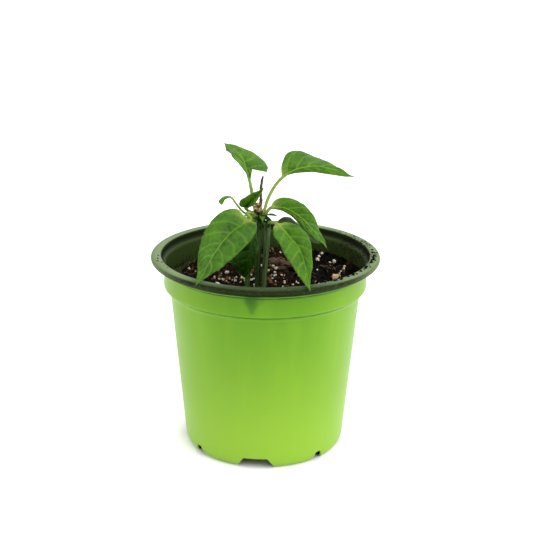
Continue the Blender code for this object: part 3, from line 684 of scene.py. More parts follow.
def leaf_skin(name, low, high, vein, under, stalk):
    """Leaf blade: two greens in soft patches, paler midrib, side veins and net, duller underside."""
    finish, tree, shader = new_finish(name)
    where = place(tree)
    along, across, rib = held(tree, "along"), held(tree, "across"), held(tree, "rib")
    waver = grain(tree, where, 9.0, 1.0)
    lines = use_group(tree, LEAF_VEINS, Along=along, Across=across, Waver=waver, Width=0.07)
    patches = use_group(tree, MOTTLE, Where=where, Large=120.0, Small=480.0, Contrast=1.7)["Mask"]
    colour = blend(tree, patches, low, high)
    net = node(tree, "TexVoronoi", where, feature="DISTANCE_TO_EDGE")
    net.inputs["Scale"].default_value = 480.0
    cells = net.outputs["Distance"]
    colour = blend(tree, stretch(tree, cells, 0.0, 0.09, 0.14, 0.0), colour, vein)
    colour = blend(tree, stretch(tree, lines["Between"], 0.0, 0.4, 0.2, 0.0), colour, vein)
    colour = blend(tree, maths(tree, "MULTIPLY", lines["Veins"], 0.3), colour, vein)
    fading = stretch(tree, along, 0.3, 1.0, 0.8, 0.4)
    colour = blend(tree, maths(tree, "MULTIPLY", stretch(tree, rib, 0.1, 0.8), fading), colour, vein)
    edge = stretch(tree, maths(tree, "ABSOLUTE", across), 0.95, 1.0, 0.0, 0.3)
    colour = blend(tree, edge, colour, low)
    colour = blend(tree, maths(tree, "MULTIPLY", held(tree, "under"), 0.75), colour, under)
    streaks = stretch(tree, grain(tree, where, 1.2, 3.0), 0.4, 0.7, 0.0, 0.35)
    bare = blend(tree, streaks, stalk, low)
    colour = blend(tree, stretch(tree, along, 0.0, 0.16, 1.0, 0.0), colour, bare)
    join(tree, colour, shader.inputs["Base Color"])
    join(tree, stretch(tree, patches, 0.0, 1.0, 0.42, 0.56), shader.inputs["Roughness"])
    skin = use_group(tree, FINE_SKIN, Where=where, Cells=1300.0, Softness=0.8)["Height"]
    quilt = stretch(tree, cells, 0.0, 0.35, 0.0, 0.8)
    raised = maths(tree, "ADD", maths(tree, "MULTIPLY", skin, 0.3), quilt)
    raised = maths(tree, "SUBTRACT", raised, maths(tree, "MULTIPLY", lines["Veins"], 0.9))
    join(tree, bumped(tree, raised, 0.55, 0.2), shader.inputs["Normal"])
    shader.inputs["Specular IOR Level"].default_value = 0.16
    shader.inputs["Subsurface Weight"].default_value = 0.3
    shader.inputs["Subsurface Radius"].default_value = (0.5, 0.8, 0.25)
    shader.inputs["Subsurface Scale"].default_value = 0.5 * MM
    return finish


# ---------------------------------------------------------------- building pieces

def finish_piece(name, bm, finishes, slot, *nodes):
    """The object made from bm: it rides with the plant and stands for the given CAD nodes."""
    mesh = bpy.data.meshes.new(name)
    bm.to_mesh(mesh)
    bm.free()
    for finish in finishes:
        mesh.materials.append(finish)
    for face in mesh.polygons:
        face.use_smooth = True
    piece = bpy.data.objects.new(name, mesh)
    bpy.context.scene.collection.objects.link(piece)
    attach(piece, "root")
    if nodes:
        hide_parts(*nodes)
    return piece


def keep_shape(piece):
    """Works the piece's modifiers into its own mesh."""
    bpy.context.view_layer.update()
    ready = piece.evaluated_get(bpy.context.evaluated_depsgraph_get())
    old = piece.data
    piece.data = bpy.data.meshes.new_from_object(ready)
    piece.modifiers.clear()
    bpy.data.meshes.remove(old)


def bridge(bm, rows, closed, material=0):
    """Faces between each row of points and the next."""
    for near, far in zip(rows, rows[1:]):
        count = max(len(near), len(far))
        for index in range(count if closed else count - 1):
            after = (index + 1) % count
            corners = [near[index % len(near)], near[after % len(near)],
                       far[after % len(far)], far[index % len(far)]]
            corners = [vert for spot, vert in enumerate(corners) if vert not in corners[:spot]]
            bm.faces.new(corners).material_index = material


def close_ends(bm, first, last):
    bm.faces.new(first)
    bm.faces.new(list(reversed(last)))


def rounded(corners, reach):
    """A (radius, height) line with a short arc at each of its inner corners."""
    line = [Vector(corners[0])]
    for before, here, after in zip(corners, corners[1:], corners[2:]):
        before, here, after = Vector(before), Vector(here), Vector(after)
        near = min(reach, 0.45 * (before - here).length)
        far = min(reach, 0.45 * (after - here).length)
        start = here + (before - here).normalized() * near
        end = here + (after - here).normalized() * far
        for step in range(ARC_STEPS + 1):
            t = step / ARC_STEPS
            line.append(start * (1 - t) ** 2 + here * 2 * t * (1 - t) + end * t * t)
    line.append(Vector(corners[-1]))
    return line


def filled_in(line, spacing):
    """The line with points added wherever two are further apart than the spacing."""
    full = [line[0]]
    for first, second in zip(line, line[1:]):
        parts = max(1, math.ceil((second - first).length / spacing))
        full += [first.lerp(second, part / parts) for part in range(1, parts + 1)]
    return full


def pot_middle_line():
    """Middle of the pot's sheet, (radius, height), from the curled lip down to the floor's centre."""
    half = SHEET / 2
    top = POT_HEIGHT - half
    lip = RIM_RADIUS - half
    return [
        (60.2, top - 4.6),
        (61.8, top - 4.2),
        (62.9, top - 3.4),
        (lip - 0.3, top - 2.4),
        (lip, top - 1.4),
        (lip - 0.5, top - 0.5),
        (lip - 1.6, top),
        (RIM_FLAT_INNER, top),
        (RIM_FLAT_INNER - 0.8, top - 0.6),
        (RIM_FLAT_INNER - 1.0, top - 2.6),
        (RIM_FLAT_INNER - 1.4, top - 3.6),
        (COLLAR_RADIUS, top - 4.5),
        (COLLAR_RADIUS - half, top - 5.4),
        (COLLAR_RADIUS - half, top - 7.0),
        (COLLAR_RADIUS + 0.1 - half, 103.0),
        (COLLAR_RADIUS + 0.6 - half, COLLAR_FOOT + 1.0),
        (COLLAR_RADIUS + 0.3 - half, COLLAR_FOOT),
        (WALL_TOP_RADIUS + 0.4, WALL_TOP + 1.2),
        (WALL_TOP_RADIUS - half, WALL_TOP - 0.4),
        (WALL_FOOT_RADIUS - half, WALL_FOOT),
        (WALL_FOOT_RADIUS - 0.5 - half, 3.6),
        (WALL_FOOT_RADIUS - 1.5 - half, 1.7),
        (FOOT_OUTER - half, half),
        (FOOT_INNER, half),
        (FOOT_INNER - 1.5, FLOOR_RISE + half),
        (0.0, FLOOR_RISE + half),
    ]


def circle_row(bm, radius, height, turns, wander=None):
    """A ring of points, or the one point on the axis."""
    if radius < 0.001:
        return [bm.verts.new((0.0, 0.0, height * MM))]
    row = []
    for turn in range(turns):
        angle = 2 * math.pi * turn / turns
        reach = radius + (wander(angle, radius, height) if wander else 0.0)
        row.append(bm.verts.new((reach * math.cos(angle) * MM, reach * math.sin(angle) * MM, height * MM)))
    return row


def wall_waver(angle, radius, height):
    """How far the thin wall stands out of true at a place; none near the rim and the foot."""
    hold = min(1.0, max(0.0, (height - 8.0) / 12.0)) * min(1.0, max(0.0, (107.0 - height) / 6.0))
    spot = Vector((radius * math.cos(angle), radius * math.sin(angle), height)) / WAVER_LENGTH
    return WALL_WAVER * hold * noise.noise(spot)


def notch_cutter():
    """Rounded wedges, wide and narrow in turn, across the pot's bottom corner."""
    bm = bmesh.new()
    for index, degrees in enumerate(NOTCH_TURNS):
        base, top, height = NARROW_NOTCH if index % 2 else WIDE_NOTCH
        slope = (base - top) / height
        wide = base / 2 + slope * NOTCH_BELOW / 2
        outline = rounded([(-wide, -NOTCH_BELOW), (-top / 2, height), (top / 2, height),
                           (wide, -NOTCH_BELOW)], NOTCH_ROUNDING)
        turn = Matrix.Rotation(math.radians(degrees), 3, "Z")
        ends = []
        for radius in (NOTCH_INNER, NOTCH_OUTER):
            ends.append([bm.verts.new(turn @ Vector((radius, spot.x, spot.y)) * MM) for spot in outline])
        bridge(bm, ends, closed=True)
        close_ends(bm, *ends)
    bmesh.ops.recalc_face_normals(bm, faces=bm.faces)
    mesh = bpy.data.meshes.new("notch cutter")
    bm.to_mesh(mesh)
    bm.free()
    cutter = bpy.data.objects.new("notch cutter", mesh)
    bpy.context.scene.collection.objects.link(cutter)
    return cutter


def make_pot(lime, olive):
    """The pot as one turned sheet, thickened both ways, with its notches cut."""
    line = filled_in(rounded(pot_middle_line(), CORNER_REACH), ROW_SPACING)
    bm = bmesh.new()
    rows = [circle_row(bm, spot.x, spot.y, POT_TURNS, wall_waver) for spot in line]
    bridge(bm, rows, closed=True)
    bmesh.ops.reverse_faces(bm, faces=bm.faces)
    pot = finish_piece("pot_sheet", bm, (lime, olive), "pot_plastic", "nursery_pot")
    shell = pot.modifiers.new("sheet", "SOLIDIFY")
    shell.thickness = SHEET * MM
    shell.offset = 0.0
    shell.material_offset = 1
    cutter = notch_cutter()
    cut = pot.modifiers.new("notches", "BOOLEAN")
    cut.object = cutter
    cut.operation = "DIFFERENCE"
    cut.solver = "EXACT"
    keep_shape(pot)
    bpy.data.objects.remove(cutter)
    pot.data.set_sharp_from_angle(angle=math.radians(SHARP_ANGLE))
    return pot


def make_rim_bead(lime):
    """The trimmed edge of the sheet, thickened by the hot cut, just under the lip."""
    bm = bmesh.new()
    radius, height = BEAD_MIDDLE
    wide, high = BEAD_HALF
    rows = []
    for step in range(BEAD_CORNERS):
        angle = 2 * math.pi * step / BEAD_CORNERS
        rows.append(circle_row(bm, radius + wide * math.cos(angle), height + high * math.sin(angle),
                               POT_TURNS))
    bridge(bm, rows + [rows[0]], closed=True)
    bmesh.ops.recalc_face_normals(bm, faces=bm.faces)
    return finish_piece("rim_bead", bm, (lime,), "pot_plastic")


def soil_height(x, y):
    height = SOIL_LEVEL + SOIL_TILT_X * x + SOIL_TILT_Y * y
    for layer, (wavelength, size) in enumerate(SOIL_LUMPS):
        height += size * noise.noise(Vector((x / wavelength, y / wavelength, 7.0 * layer)))
    return height


def crumbly_height(x, y):
    """The soil's surface with its crumbs."""
    height = soil_height(x, y) - 0.3
    for layer, (wavelength, size) in enumerate(SOIL_CRUMBLE):
        height += size * noise.noise(Vector((x / wavelength, y / wavelength, 3.0 + 5.0 * layer)))
    return height


def inside_line():
    """The pot's inside above its floor, (radius, height), from the collar down and in to the axis."""
    line = pot_middle_line()[12:]
    moved = []
    for index, point in enumerate(line):
        before = Vector(line[max(index - 1, 0)])
        after = Vector(line[min(index + 1, len(line) - 1)])
        step = (after - before).normalized()
        moved.append(Vector(point) + Vector((step.y, -step.x)) * (SHEET / 2 + SOIL_FIT))
    moved = [spot for spot in moved if spot.y > SOIL_BOTTOM]
    foot = WALL_FOOT_RADIUS - SHEET - SOIL_FIT
    return [*moved, Vector((foot, SOIL_BOTTOM)), Vector((0.0, SOIL_BOTTOM))]


def radius_inside(line, height):
    for upper, lower in zip(line, line[1:]):
        if upper.y >= height >= lower.y:
            share = (upper.y - height) / max(upper.y - lower.y, 1e-6)
            return upper.x + (lower.x - upper.x) * share
    return line[0].x


def make_soil(mix):
    """The soil as one body: a crumbled top, and sides and underside that follow the pot."""
    line = inside_line()
    bm = bmesh.new()
    top_rows = [[bm.verts.new((0.0, 0.0, crumbly_height(0.0, 0.0) * MM))]]
    for ring in range(1, SOIL_RINGS + 1):
        share = ring / SOIL_RINGS
        row = []
        for turn in range(SOIL_TURNS):
            angle = 2 * math.pi * turn / SOIL_TURNS
            edge_height = crumbly_height(SOIL_EDGE * math.cos(angle), SOIL_EDGE * math.sin(angle))
            reach = share * radius_inside(line, edge_height)
            x, y = reach * math.cos(angle), reach * math.sin(angle)
            row.append(bm.verts.new((x * MM, y * MM, crumbly_height(x, y) * MM)))
        top_rows.append(row)
    bridge(bm, top_rows, closed=True)
    side_rows = [top_rows[-1]]
    for spot in line:
        if spot.x < 0.001:
            side_rows.append(circle_row(bm, 0.0, spot.y, SOIL_TURNS))
            continue
        row = []
        for turn, edge in enumerate(top_rows[-1]):
            height = min(spot.y, edge.co.z / MM - SIDE_STEP * len(side_rows))
            angle = 2 * math.pi * turn / SOIL_TURNS
            reach = radius_inside(line, height)
            row.append(bm.verts.new((reach * math.cos(angle) * MM, reach * math.sin(angle) * MM,
                                     height * MM)))
        side_rows.append(row)
    bridge(bm, side_rows, closed=True)
    bmesh.ops.recalc_face_normals(bm, faces=bm.faces)
    return finish_piece("soil_bed", bm, (mix,), "soil", "potting_soil")


def rough_ball(bm, tones, middle, half_sizes, turn, detail, roughness, tone, draw):
    """One rough lump added to bm, with its tone noted for each point."""
    ball = bmesh.ops.create_icosphere(bm, subdivisions=detail, radius=1.0)["verts"]
    shift = Vector((draw.uniform(-50, 50), draw.uniform(-50, 50), draw.uniform(-50, 50)))
    for vert in ball:
        rough = 1.0 + roughness * noise.noise(vert.co * 1.6 + shift)
        rough += roughness * 0.4 * noise.noise(vert.co * 4.0 + shift)
        shape = Vector(half * part for half, part in zip(half_sizes, vert.co)) * rough
        vert.co = (turn @ shape + middle) * MM
        vert[tones] = tone


def random_turn(draw):
    return Matrix.Rotation(draw.uniform(0, 2 * math.pi), 3, Vector(
        (draw.uniform(-1, 1), draw.uniform(-1, 1), draw.uniform(-1, 1))).normalized())


def tone_layer(bm):
    return bm.verts.layers.float.new("tone")


def on_soil(draw, size):
    """A random place for a grain of the given half size on the soil, clear of the pot's wall."""
    line = inside_line()
    while True:
        radius = COLLAR_RADIUS * math.sqrt(draw.random())
        angle = draw.uniform(0, 2 * math.pi)
        x, y = radius * math.cos(angle), radius * math.sin(angle)
        if radius < radius_inside(line, crumbly_height(x, y) - size) - 1.3 * size:
            return x, y


def make_crumbs(mix):
    """Loose crumbs of peat over the soil."""
    draw = random.Random(11)
    bm = bmesh.new()
    tones = tone_layer(bm)
    for _ in range(CRUMB_COUNT):
        size = min(CRUMB_GREATEST, 0.42 * math.exp(draw.gauss(0.0, 0.5)))
        x, y = on_soil(draw, size)
        half_sizes = [size * draw.uniform(0.7, 1.3) for _ in range(3)]
        middle = Vector((x, y, crumbly_height(x, y) + 0.25 * size))
        rough_ball(bm, tones, middle, half_sizes, random_turn(draw), 1 if size < 0.7 else 2, 0.6,
                   draw.random(), draw)
    return finish_piece("soil_crumbs", bm, (mix,), "soil")


def make_spilt_crumbs(mix):
    """Crumbs of soil spilt on the flange of the rim."""
    draw = random.Random(53)
    bm = bmesh.new()
    tones = tone_layer(bm)
    for middle, spread, count in SPILT_HEAPS:
        for _ in range(count):
            angle = math.radians(draw.gauss(middle, spread))
            size = draw.uniform(0.2, 0.6)
            radius = RIM_FLAT_INNER + 0.6 + abs(draw.gauss(0.0, 0.9))
            spot = Vector((radius * math.cos(angle), radius * math.sin(angle), POT_HEIGHT + 0.3 * size))
            half_sizes = (size * draw.uniform(0.8, 1.7), size * draw.uniform(0.6, 1.1), size * 0.6)
            turn = Matrix.Rotation(draw.uniform(0, 6.3), 3, "Z")
            rough_ball(bm, tones, spot, half_sizes, turn, 2, 0.6, 0.3 * draw.random(), draw)
    return finish_piece("spilt_crumbs", bm, (mix,), "soil")


def make_perlite(white):
    """White grains: loose heaps, small ones round the stems, and some anywhere on the soil."""
    draw = random.Random(5)
    bm = bmesh.new()
    tones = tone_layer(bm)
    spots = []
    for (middle_x, middle_y), (wide, shaded), count in PERLITE_HEAPS:
        for _ in range(count):
            x, y = draw.gauss(middle_x, wide), draw.gauss(middle_y, shaded)
            inward = min(1.0, PERLITE_REACH / math.hypot(x, y))
            spots.append((x * inward, y * inward, draw.uniform(*PERLITE_HALF_SIZES)))
    for _ in range(PERLITE_SMALL_COUNT):
        spots.append((draw.uniform(-32, 20), draw.uniform(-12, 10), draw.uniform(0.35, 0.8)))
    for _ in range(PERLITE_SPREAD_COUNT):
        size = draw.uniform(0.3, 0.8)
        spots.append((*on_soil(draw, size), size))
    for x, y, size in spots:
        half_sizes = [size * draw.uniform(0.75, 1.25) for _ in range(3)]
        middle = Vector((x, y, crumbly_height(x, y) + 0.45 * size))
        rough_ball(bm, tones, middle, half_sizes, random_turn(draw), 2, 0.75, draw.random(), draw)
    return finish_piece("perlite_grains", bm, (white,), "soil")


def make_fibres(brown):
    """Peat fibres and slivers of bark strewn over the soil."""
    draw = random.Random(23)
    bm = bmesh.new()
    tones = tone_layer(bm)
    for _ in range(FIBRE_COUNT):
        x, y = on_soil(draw, 1.0)
        heading = draw.uniform(0, 2 * math.pi)
        length, thick, tone = draw.uniform(2.0, 8.0), draw.uniform(0.12, 0.32), draw.random()
        bend = draw.uniform(-0.5, 0.5)
        rows = []
        for step in range(FIBRE_STEPS + 1):
            t = step / FIBRE_STEPS
            x += math.cos(heading) * length / FIBRE_STEPS
            y += math.sin(heading) * length / FIBRE_STEPS
            heading += bend / FIBRE_STEPS
            if math.hypot(x, y) > FIBRE_REACH:
                break
            lift = 0.35 + 0.5 * math.sin(math.pi * t)
            middle = Vector((x, y, crumbly_height(x, y) + lift))
            side = Vector((-math.sin(heading), math.cos(heading), 0.0))
            reach = thick * (0.35 + 0.65 * math.sin(math.pi * (0.1 + 0.8 * t)))
            row = []
            for corner in range(FIBRE_CORNERS):
                angle = 2 * math.pi * corner / FIBRE_CORNERS
                outward = side * math.cos(angle) + UP * math.sin(angle)
                row.append(bm.verts.new((middle + outward * reach) * MM))
                row[-1][tones] = tone
            rows.append(row)
        if len(rows) > 2:
            bridge(bm, rows, closed=True)
            close_ends(bm, rows[0], rows[-1])
    bmesh.ops.recalc_face_normals(bm, faces=bm.faces)
    return finish_piece("peat_fibres", bm, (brown,), "peat")


def make_lump(name, node_name, place_and_size, finish, slot, detail, roughness, seed):
    """A larger lump on the soil, with knobs and hollows."""
    (x, y), half_sizes = place_and_size
    draw = random.Random(seed)
    bm = bmesh.new()
    tones = tone_layer(bm)
    rough_ball(bm, tones, Vector((x, y, soil_height(x, y) - 0.4)), half_sizes, Matrix.Identity(3),
               detail, roughness, 0.3, draw)
    for vert in bm.verts:
        vert.co += vert.normal * 0.35 * MM * noise.noise(vert.co / MM * 1.1)
    return finish_piece(name, bm, (finish,), slot, node_name)


def smooth_path(points, per_span=12):
    """A smooth line through the points."""
    knots = [Vector(point) for point in points]
    knots.insert(0, 2 * knots[0] - knots[1])
    knots.append(2 * knots[-1] - knots[-2])
    path = []
    for a, b, c, d in zip(knots, knots[1:], knots[2:], knots[3:]):
        for step in range(per_span):
            t = step / per_span
            path.append(0.5 * (2 * b + (c - a) * t + (2 * a - 5 * b + 4 * c - d) * t * t
                               + (3 * b - a - 3 * c + d) * t ** 3))
    path.append(knots[-2])
    return path


def along(path, fractions):
    """Points of path at the given fractions of its length."""
    reach = [0.0]
    for first, second in zip(path, path[1:]):
        reach.append(reach[-1] + (second - first).length)
    found = []
    for fraction in fractions:
        goal = fraction * reach[-1]
        index = max(i for i in range(len(path) - 1) if reach[i] <= goal or i == 0)
        span = reach[index + 1] - reach[index]
        found.append(path[index].lerp(path[index + 1], (goal - reach[index]) / span))
    return found


def three_point(values, t):
    """Value at t of the parabola through values at 0, 0.5 and 1."""
    start, middle, end = values
    return (start * 2 * (t - 0.5) * (t - 1) - middle * 4 * t * (t - 1) + end * 2 * t * (t - 0.5))


def eased(value, low, high):
    t = min(1.0, max(0.0, (value - low) / (high - low)))
    return t * t * (3 - 2 * t)


def half_width(shape, t):
    """Half width of one side of a blade at fraction t from its foot to its tip."""
    greatest, foot, tip = shape
    peak = foot / (foot + tip)
    return greatest * (t / peak) ** foot * ((1 - t) / (1 - peak)) ** tip


def square_to(direction, normal):
    return (normal - direction * normal.dot(direction)).normalized()


def margin_nicks(name, t, side_number):
    """Uneven edge: how much wider or narrower than its outline the blade is at t."""
    share = 1.0
    for waves, size in MARGIN_NICKS:
        share += size * noise.noise(Vector((t * waves, 7.0 * side_number, 3.0 + len(name))))
    return share


def leaf_rings(name, leaf):
    """Stations along a leaf: centre, right, left, normal, half widths, rod radius, fraction, hook."""
    stalk = smooth_path((*leaf["stalk"], leaf["midrib"][0]))
    spans = len(leaf["stalk"]) - 1
    stalk = stalk[:spans * (len(stalk) - 1) // (spans + 1) + 1]
    blade = smooth_path((leaf["stalk"][-1], *leaf["midrib"]))
    radius = leaf["stalk_radius"]
    fractions = [step / BLADE_STEPS for step in range(BLADE_STEPS + 1)]
    centres = along(blade, fractions)
    rings = []
    for index, t in enumerate(fractions):
        ahead = centres[min(index + 1, BLADE_STEPS)]
        behind = centres[max(index - 1, 0)]
        forward = (ahead - behind).normalized()
        turn = Matrix.Rotation(math.radians(three_point(leaf["roll"], t)), 3, forward)
        flat_normal = square_to(forward, UP)
        normal = turn @ flat_normal
        side = turn @ forward.cross(flat_normal)
        lift = math.radians(three_point(leaf["fold"], t)) * min(1.0, t / FOLD_START)
        right = side * math.cos(lift) + normal * math.sin(lift)
        left = -side * math.cos(lift) + normal * math.sin(lift)
        narrow = radius * (1 - t) + 0.15 * t
        widths = {}
        hook = Vector((0.0, 0.0, 0.0))
        for side_number, half in enumerate(("right", "left")):
            widths[half] = half_width(leaf[half], t) * margin_nicks(name, t, side_number)
            lobed, start, depth, back = LEAF_LOBES.get(name, ("", 0.0, 0.0, 0.0))
            if lobed == half:
                widths[half] *= 1 - depth * (1 - eased(t, start - 0.015, start + 0.015))
                bent = eased(t, start - 0.015, start + 0.015) * (1 - eased(t, start + 0.1, start + 0.5))
                hook = -forward * back * bent
        rings.append((centres[index], right, left, normal, max(narrow, widths["right"]),
                      max(narrow, widths["left"]), radius * (1 - t) ** RIB_TAPER + 0.1 * t, t, hook))
    normal = rings[0][3]
    stations = along(stalk, [index / STALK_STEPS for index in range(STALK_STEPS)])
    for index in reversed(range(STALK_STEPS)):
        ahead = stations[index + 1] if index + 1 < STALK_STEPS else stalk[-1]
        forward = (ahead - stations[index]).normalized()
        normal = square_to(forward, normal)
        side = forward.cross(normal)
        thick = radius * (1 + 0.25 * eased(index, 3, 0))
        rings.insert(0, (stations[index], side, -side, normal, thick, thick, thick,
                         index / STALK_STEPS - 1, Vector((0.0, 0.0, 0.0))))
    return rings


def column_places(t):
    """How far out each column of points lies, -1 to 1, crowded towards the rod as the blade opens."""
    open_share = eased(t, 0.0, 0.08)
    places = []
    for column in range(-LEAF_COLUMNS, LEAF_COLUMNS + 1):
        share = abs(column) / LEAF_COLUMNS
        spot = (1 - open_share) * math.sin(math.pi / 2 * share) + open_share * share ** COLUMN_CROWDING
        places.append(math.copysign(spot, column))
    return places


def leaf_layers(bm):
    """Values kept on a leaf's points for its finish."""
    return {key: bm.verts.layers.float.new(key) for key in ("along", "across", "rib", "under")}


def leaf_relief(name, t, out, across):
    """How far the blade stands above its flat shape: quilting between veins, an arch, a wavy edge."""
    if t <= 0:
        return 0.0
    seed = len(name)
    phase = (t - VEIN_SWEEP * out ** VEIN_BEND) * VEIN_PAIRS + (0.5 if across < 0 else 0.0)
    near = 0.5 - abs(phase % 1.0 - 0.5)
    reach = abs(across)
    opening = eased(t, 0.0, 0.12) * eased(reach, 0.3, 2.0) * eased(1 - t, 0.0, 0.15)
    quilt = PUCKER * (1 - (1 - 2 * near) ** 2) * (1 - out ** 3)
    arch = BLADE_ARCH * reach * math.sin(math.pi * out)
    wave = 2 * MARGIN_WAVE * out ** 2 * noise.noise(Vector((t * 5.0, 2.0 if across > 0 else 5.0, seed)))
    rough = 0.35 * noise.noise(Vector((t * 12.0, across * 0.3, seed)))
    return (min(reach * 0.3, quilt + arch) + wave + rough) * opening


def make_leaf(name, leaf, finish, slot):
    """A leaf as one closed skin: a round stalk that runs on as the midrib of a thin blade."""
    bm = bmesh.new()
    layers = leaf_layers(bm)
    small = max(leaf["left"][0], leaf["right"][0]) < YOUNG_LEAF_WIDTH
    rows = []
    for centre, right, left, normal, right_half, left_half, rod, t, hook in leaf_rings(name, leaf):
        upper, lower = [], []
        places = column_places(t)
        opened = eased(t, 0.0, 0.1)
        for column, spot in enumerate(places):
            half_direction = right if spot >= 0 else left
            half = right_half if spot >= 0 else left_half
            across = spot * half
            out = abs(spot)
            own = normal.lerp(square_to(half_direction, normal), min(1.0, abs(across) / 1.2)).normalized()
            base = centre + half_direction * abs(across)
            if spot > 0:
                base = base + hook * out ** 1.3
            if not small:
                base = base + own * leaf_relief(name, t, out, across)
            rod_share = math.sqrt(max(0.0, 1 - (abs(across) / rod) ** 2)) if rod > 0 else 0.0
            blade_thick = BLADE_HALF_THICKNESS * (1 - out ** 6) * min(1.0, 3 * rod)
            slim = rod * TOP_RIB
            top_share = math.sqrt(max(0.0, 1 - (abs(across) / slim) ** 2)) if slim > 0 else 0.0
            above = (1 - opened) * rod * rod_share + opened * (blade_thick + 0.1 * rod * top_share)
            below = (1 - opened) * rod * rod_share + opened * (blade_thick + 0.85 * rod * rod_share)
            edge = column in (0, len(places) - 1)
            noted = {"along": t, "across": spot if t > 0 else 0.0}
            if edge:
                vert = bm.verts.new(base * MM)
                upper.append(vert)
                noted["under"] = 0.5
                noted["rib"] = 1 - opened
                for key, value in noted.items():
                    vert[layers[key]] = value
                continue
            for side, offset, under in ((upper, above, 0.0), (lower, -below, 1.0)):
                vert = bm.verts.new((base + own * offset) * MM)
                noted["under"] = under * opened
                noted["rib"] = max(1 - opened, rod_share if under else top_share)
                for key, value in noted.items():
                    vert[layers[key]] = value
                side.append(vert)
        rows.append(upper + list(reversed(lower)))
    bridge(bm, rows, closed=True)
    close_ends(bm, rows[-1], rows[0])
    bmesh.ops.recalc_face_normals(bm, faces=bm.faces)
    return finish_piece("fine_" + name, bm, (finish,), slot, name)


def make_tuft(piece_name, leaflets, finish, slot):
    """Tiny leaves and buds at the node, as one piece."""
    draw = random.Random(31)
    bm = bmesh.new()
    layers = leaf_layers(bm)
    for foot, way, length, wide in leaflets:
        foot, way, length = Vector(foot), Vector(way).normalized(), length * TUFT_GROWTH
        normal = square_to(way, (UP + Vector((0.0, -0.4, 0.0))).normalized())
        side = way.cross(normal)
        droop, fold = draw.uniform(0.1, 0.5), draw.uniform(0.3, 0.7)
        rows = []
        for step in range(LEAFLET_STEPS + 1):
            t = step / LEAFLET_STEPS
            centre = foot + way * length * t - UP * droop * length * t * t
            reach = 0.25 + wide * math.sin(math.pi * min(1.0, 0.08 + 0.92 * t) ** 0.8) * (1 - 0.2 * t)
            row = []
            for level, out in LEAFLET_SECTION:
                lift = abs(out) * fold * reach + 0.14 * level * (1 - abs(out))
                vert = bm.verts.new((centre + side * out * reach + normal * lift) * MM)
                vert[layers["along"]] = max(0.2, t)
                vert[layers["across"]] = out
                vert[layers["rib"]] = 0.5 if out == 0 else 0.0
                vert[layers["under"]] = 1.0 if level < 0 else 0.0
                row.append(vert)
            rows.append(row)
        bridge(bm, rows, closed=True)
        close_ends(bm, rows[-1], rows[0])
    bmesh.ops.recalc_face_normals(bm, faces=bm.faces)
    return finish_piece(piece_name, bm, (finish,), slot)


def rod_frames(path):
    """Centre, side and normal along a path, turned as little as possible."""
    normal = None
    frames = []
    for index, centre in enumerate(path):
        forward = (path[min(index + 1, len(path) - 1)] - path[max(index - 1, 0)]).normalized()
        start = normal if normal else Vector((0.0, -1.0, 0.0))
        normal = square_to(forward, start)
        frames.append((centre, forward.cross(normal), normal, forward))
    return frames


def make_stem(name, route, finishes, slot, ridges=5, scar_above=None, wrinkle=0.12, hollow=False):
    """A ridged rod along the route, swollen and scarred at its node."""
    path = smooth_path([middle for middle, radius in route], STEM_SPAN_STEPS)
    radii = smooth_path([(radius, 0.0, 0.0) for middle, radius in route], STEM_SPAN_STEPS)
    bm = bmesh.new()
    ridge_layer = bm.verts.layers.float.new("ridge")
    scar_layer = bm.verts.layers.float.new("scar")
    rows = []
    for (centre, side, normal, forward), radius in zip(rod_frames(path), radii):
        row = []
        scar = eased(centre.z, scar_above - 2.5, scar_above + 1.0) if scar_above else 0.0
        for corner in range(STEM_CORNERS):
            angle = 2 * math.pi * corner / STEM_CORNERS
            crest = 0.5 + 0.5 * math.cos(ridges * angle)
            outward = side * math.cos(angle) + normal * math.sin(angle)
            spot = centre + outward * radius.x
            reach = radius.x * (0.93 + 0.07 * crest) + wrinkle * noise.noise(spot * 0.9)
            reach += 0.35 * scar * noise.noise(spot * 0.8 + Vector((9, 3, 1)))
            vert = bm.verts.new((centre + outward * reach) * MM)
            vert[ridge_layer] = crest
            vert[scar_layer] = scar
            row.append(vert)
        rows.append(row)
    if hollow:
        centre, side, normal, forward = rod_frames(path)[-1]
        for share, depth in STUB_HOLLOW:
            row = []
            for corner in range(STEM_CORNERS):
                angle = 2 * math.pi * corner / STEM_CORNERS
                outward = side * math.cos(angle) + normal * math.sin(angle)
                ragged = 1 + 0.16 * noise.noise(outward * 2.5 + Vector((share * 9, 0, 0)))
                vert = bm.verts.new((centre + outward * radii[-1].x * share * ragged - forward * depth) * MM)
                vert[scar_layer] = 1.0
                row.append(vert)
            rows.append(row)
    bridge(bm, rows, closed=True)
    close_ends(bm, rows[-1], rows[0])
    bmesh.ops.recalc_face_normals(bm, faces=bm.faces)
    if len(finishes) > 1:
        for face in bm.faces:
            if face.calc_center_median().z > STUB_FOOT * MM:
                face.material_index = 1
    return finish_piece("fine_" + name, bm, finishes, slot, name)


# ---------------------------------------------------------------- the plant

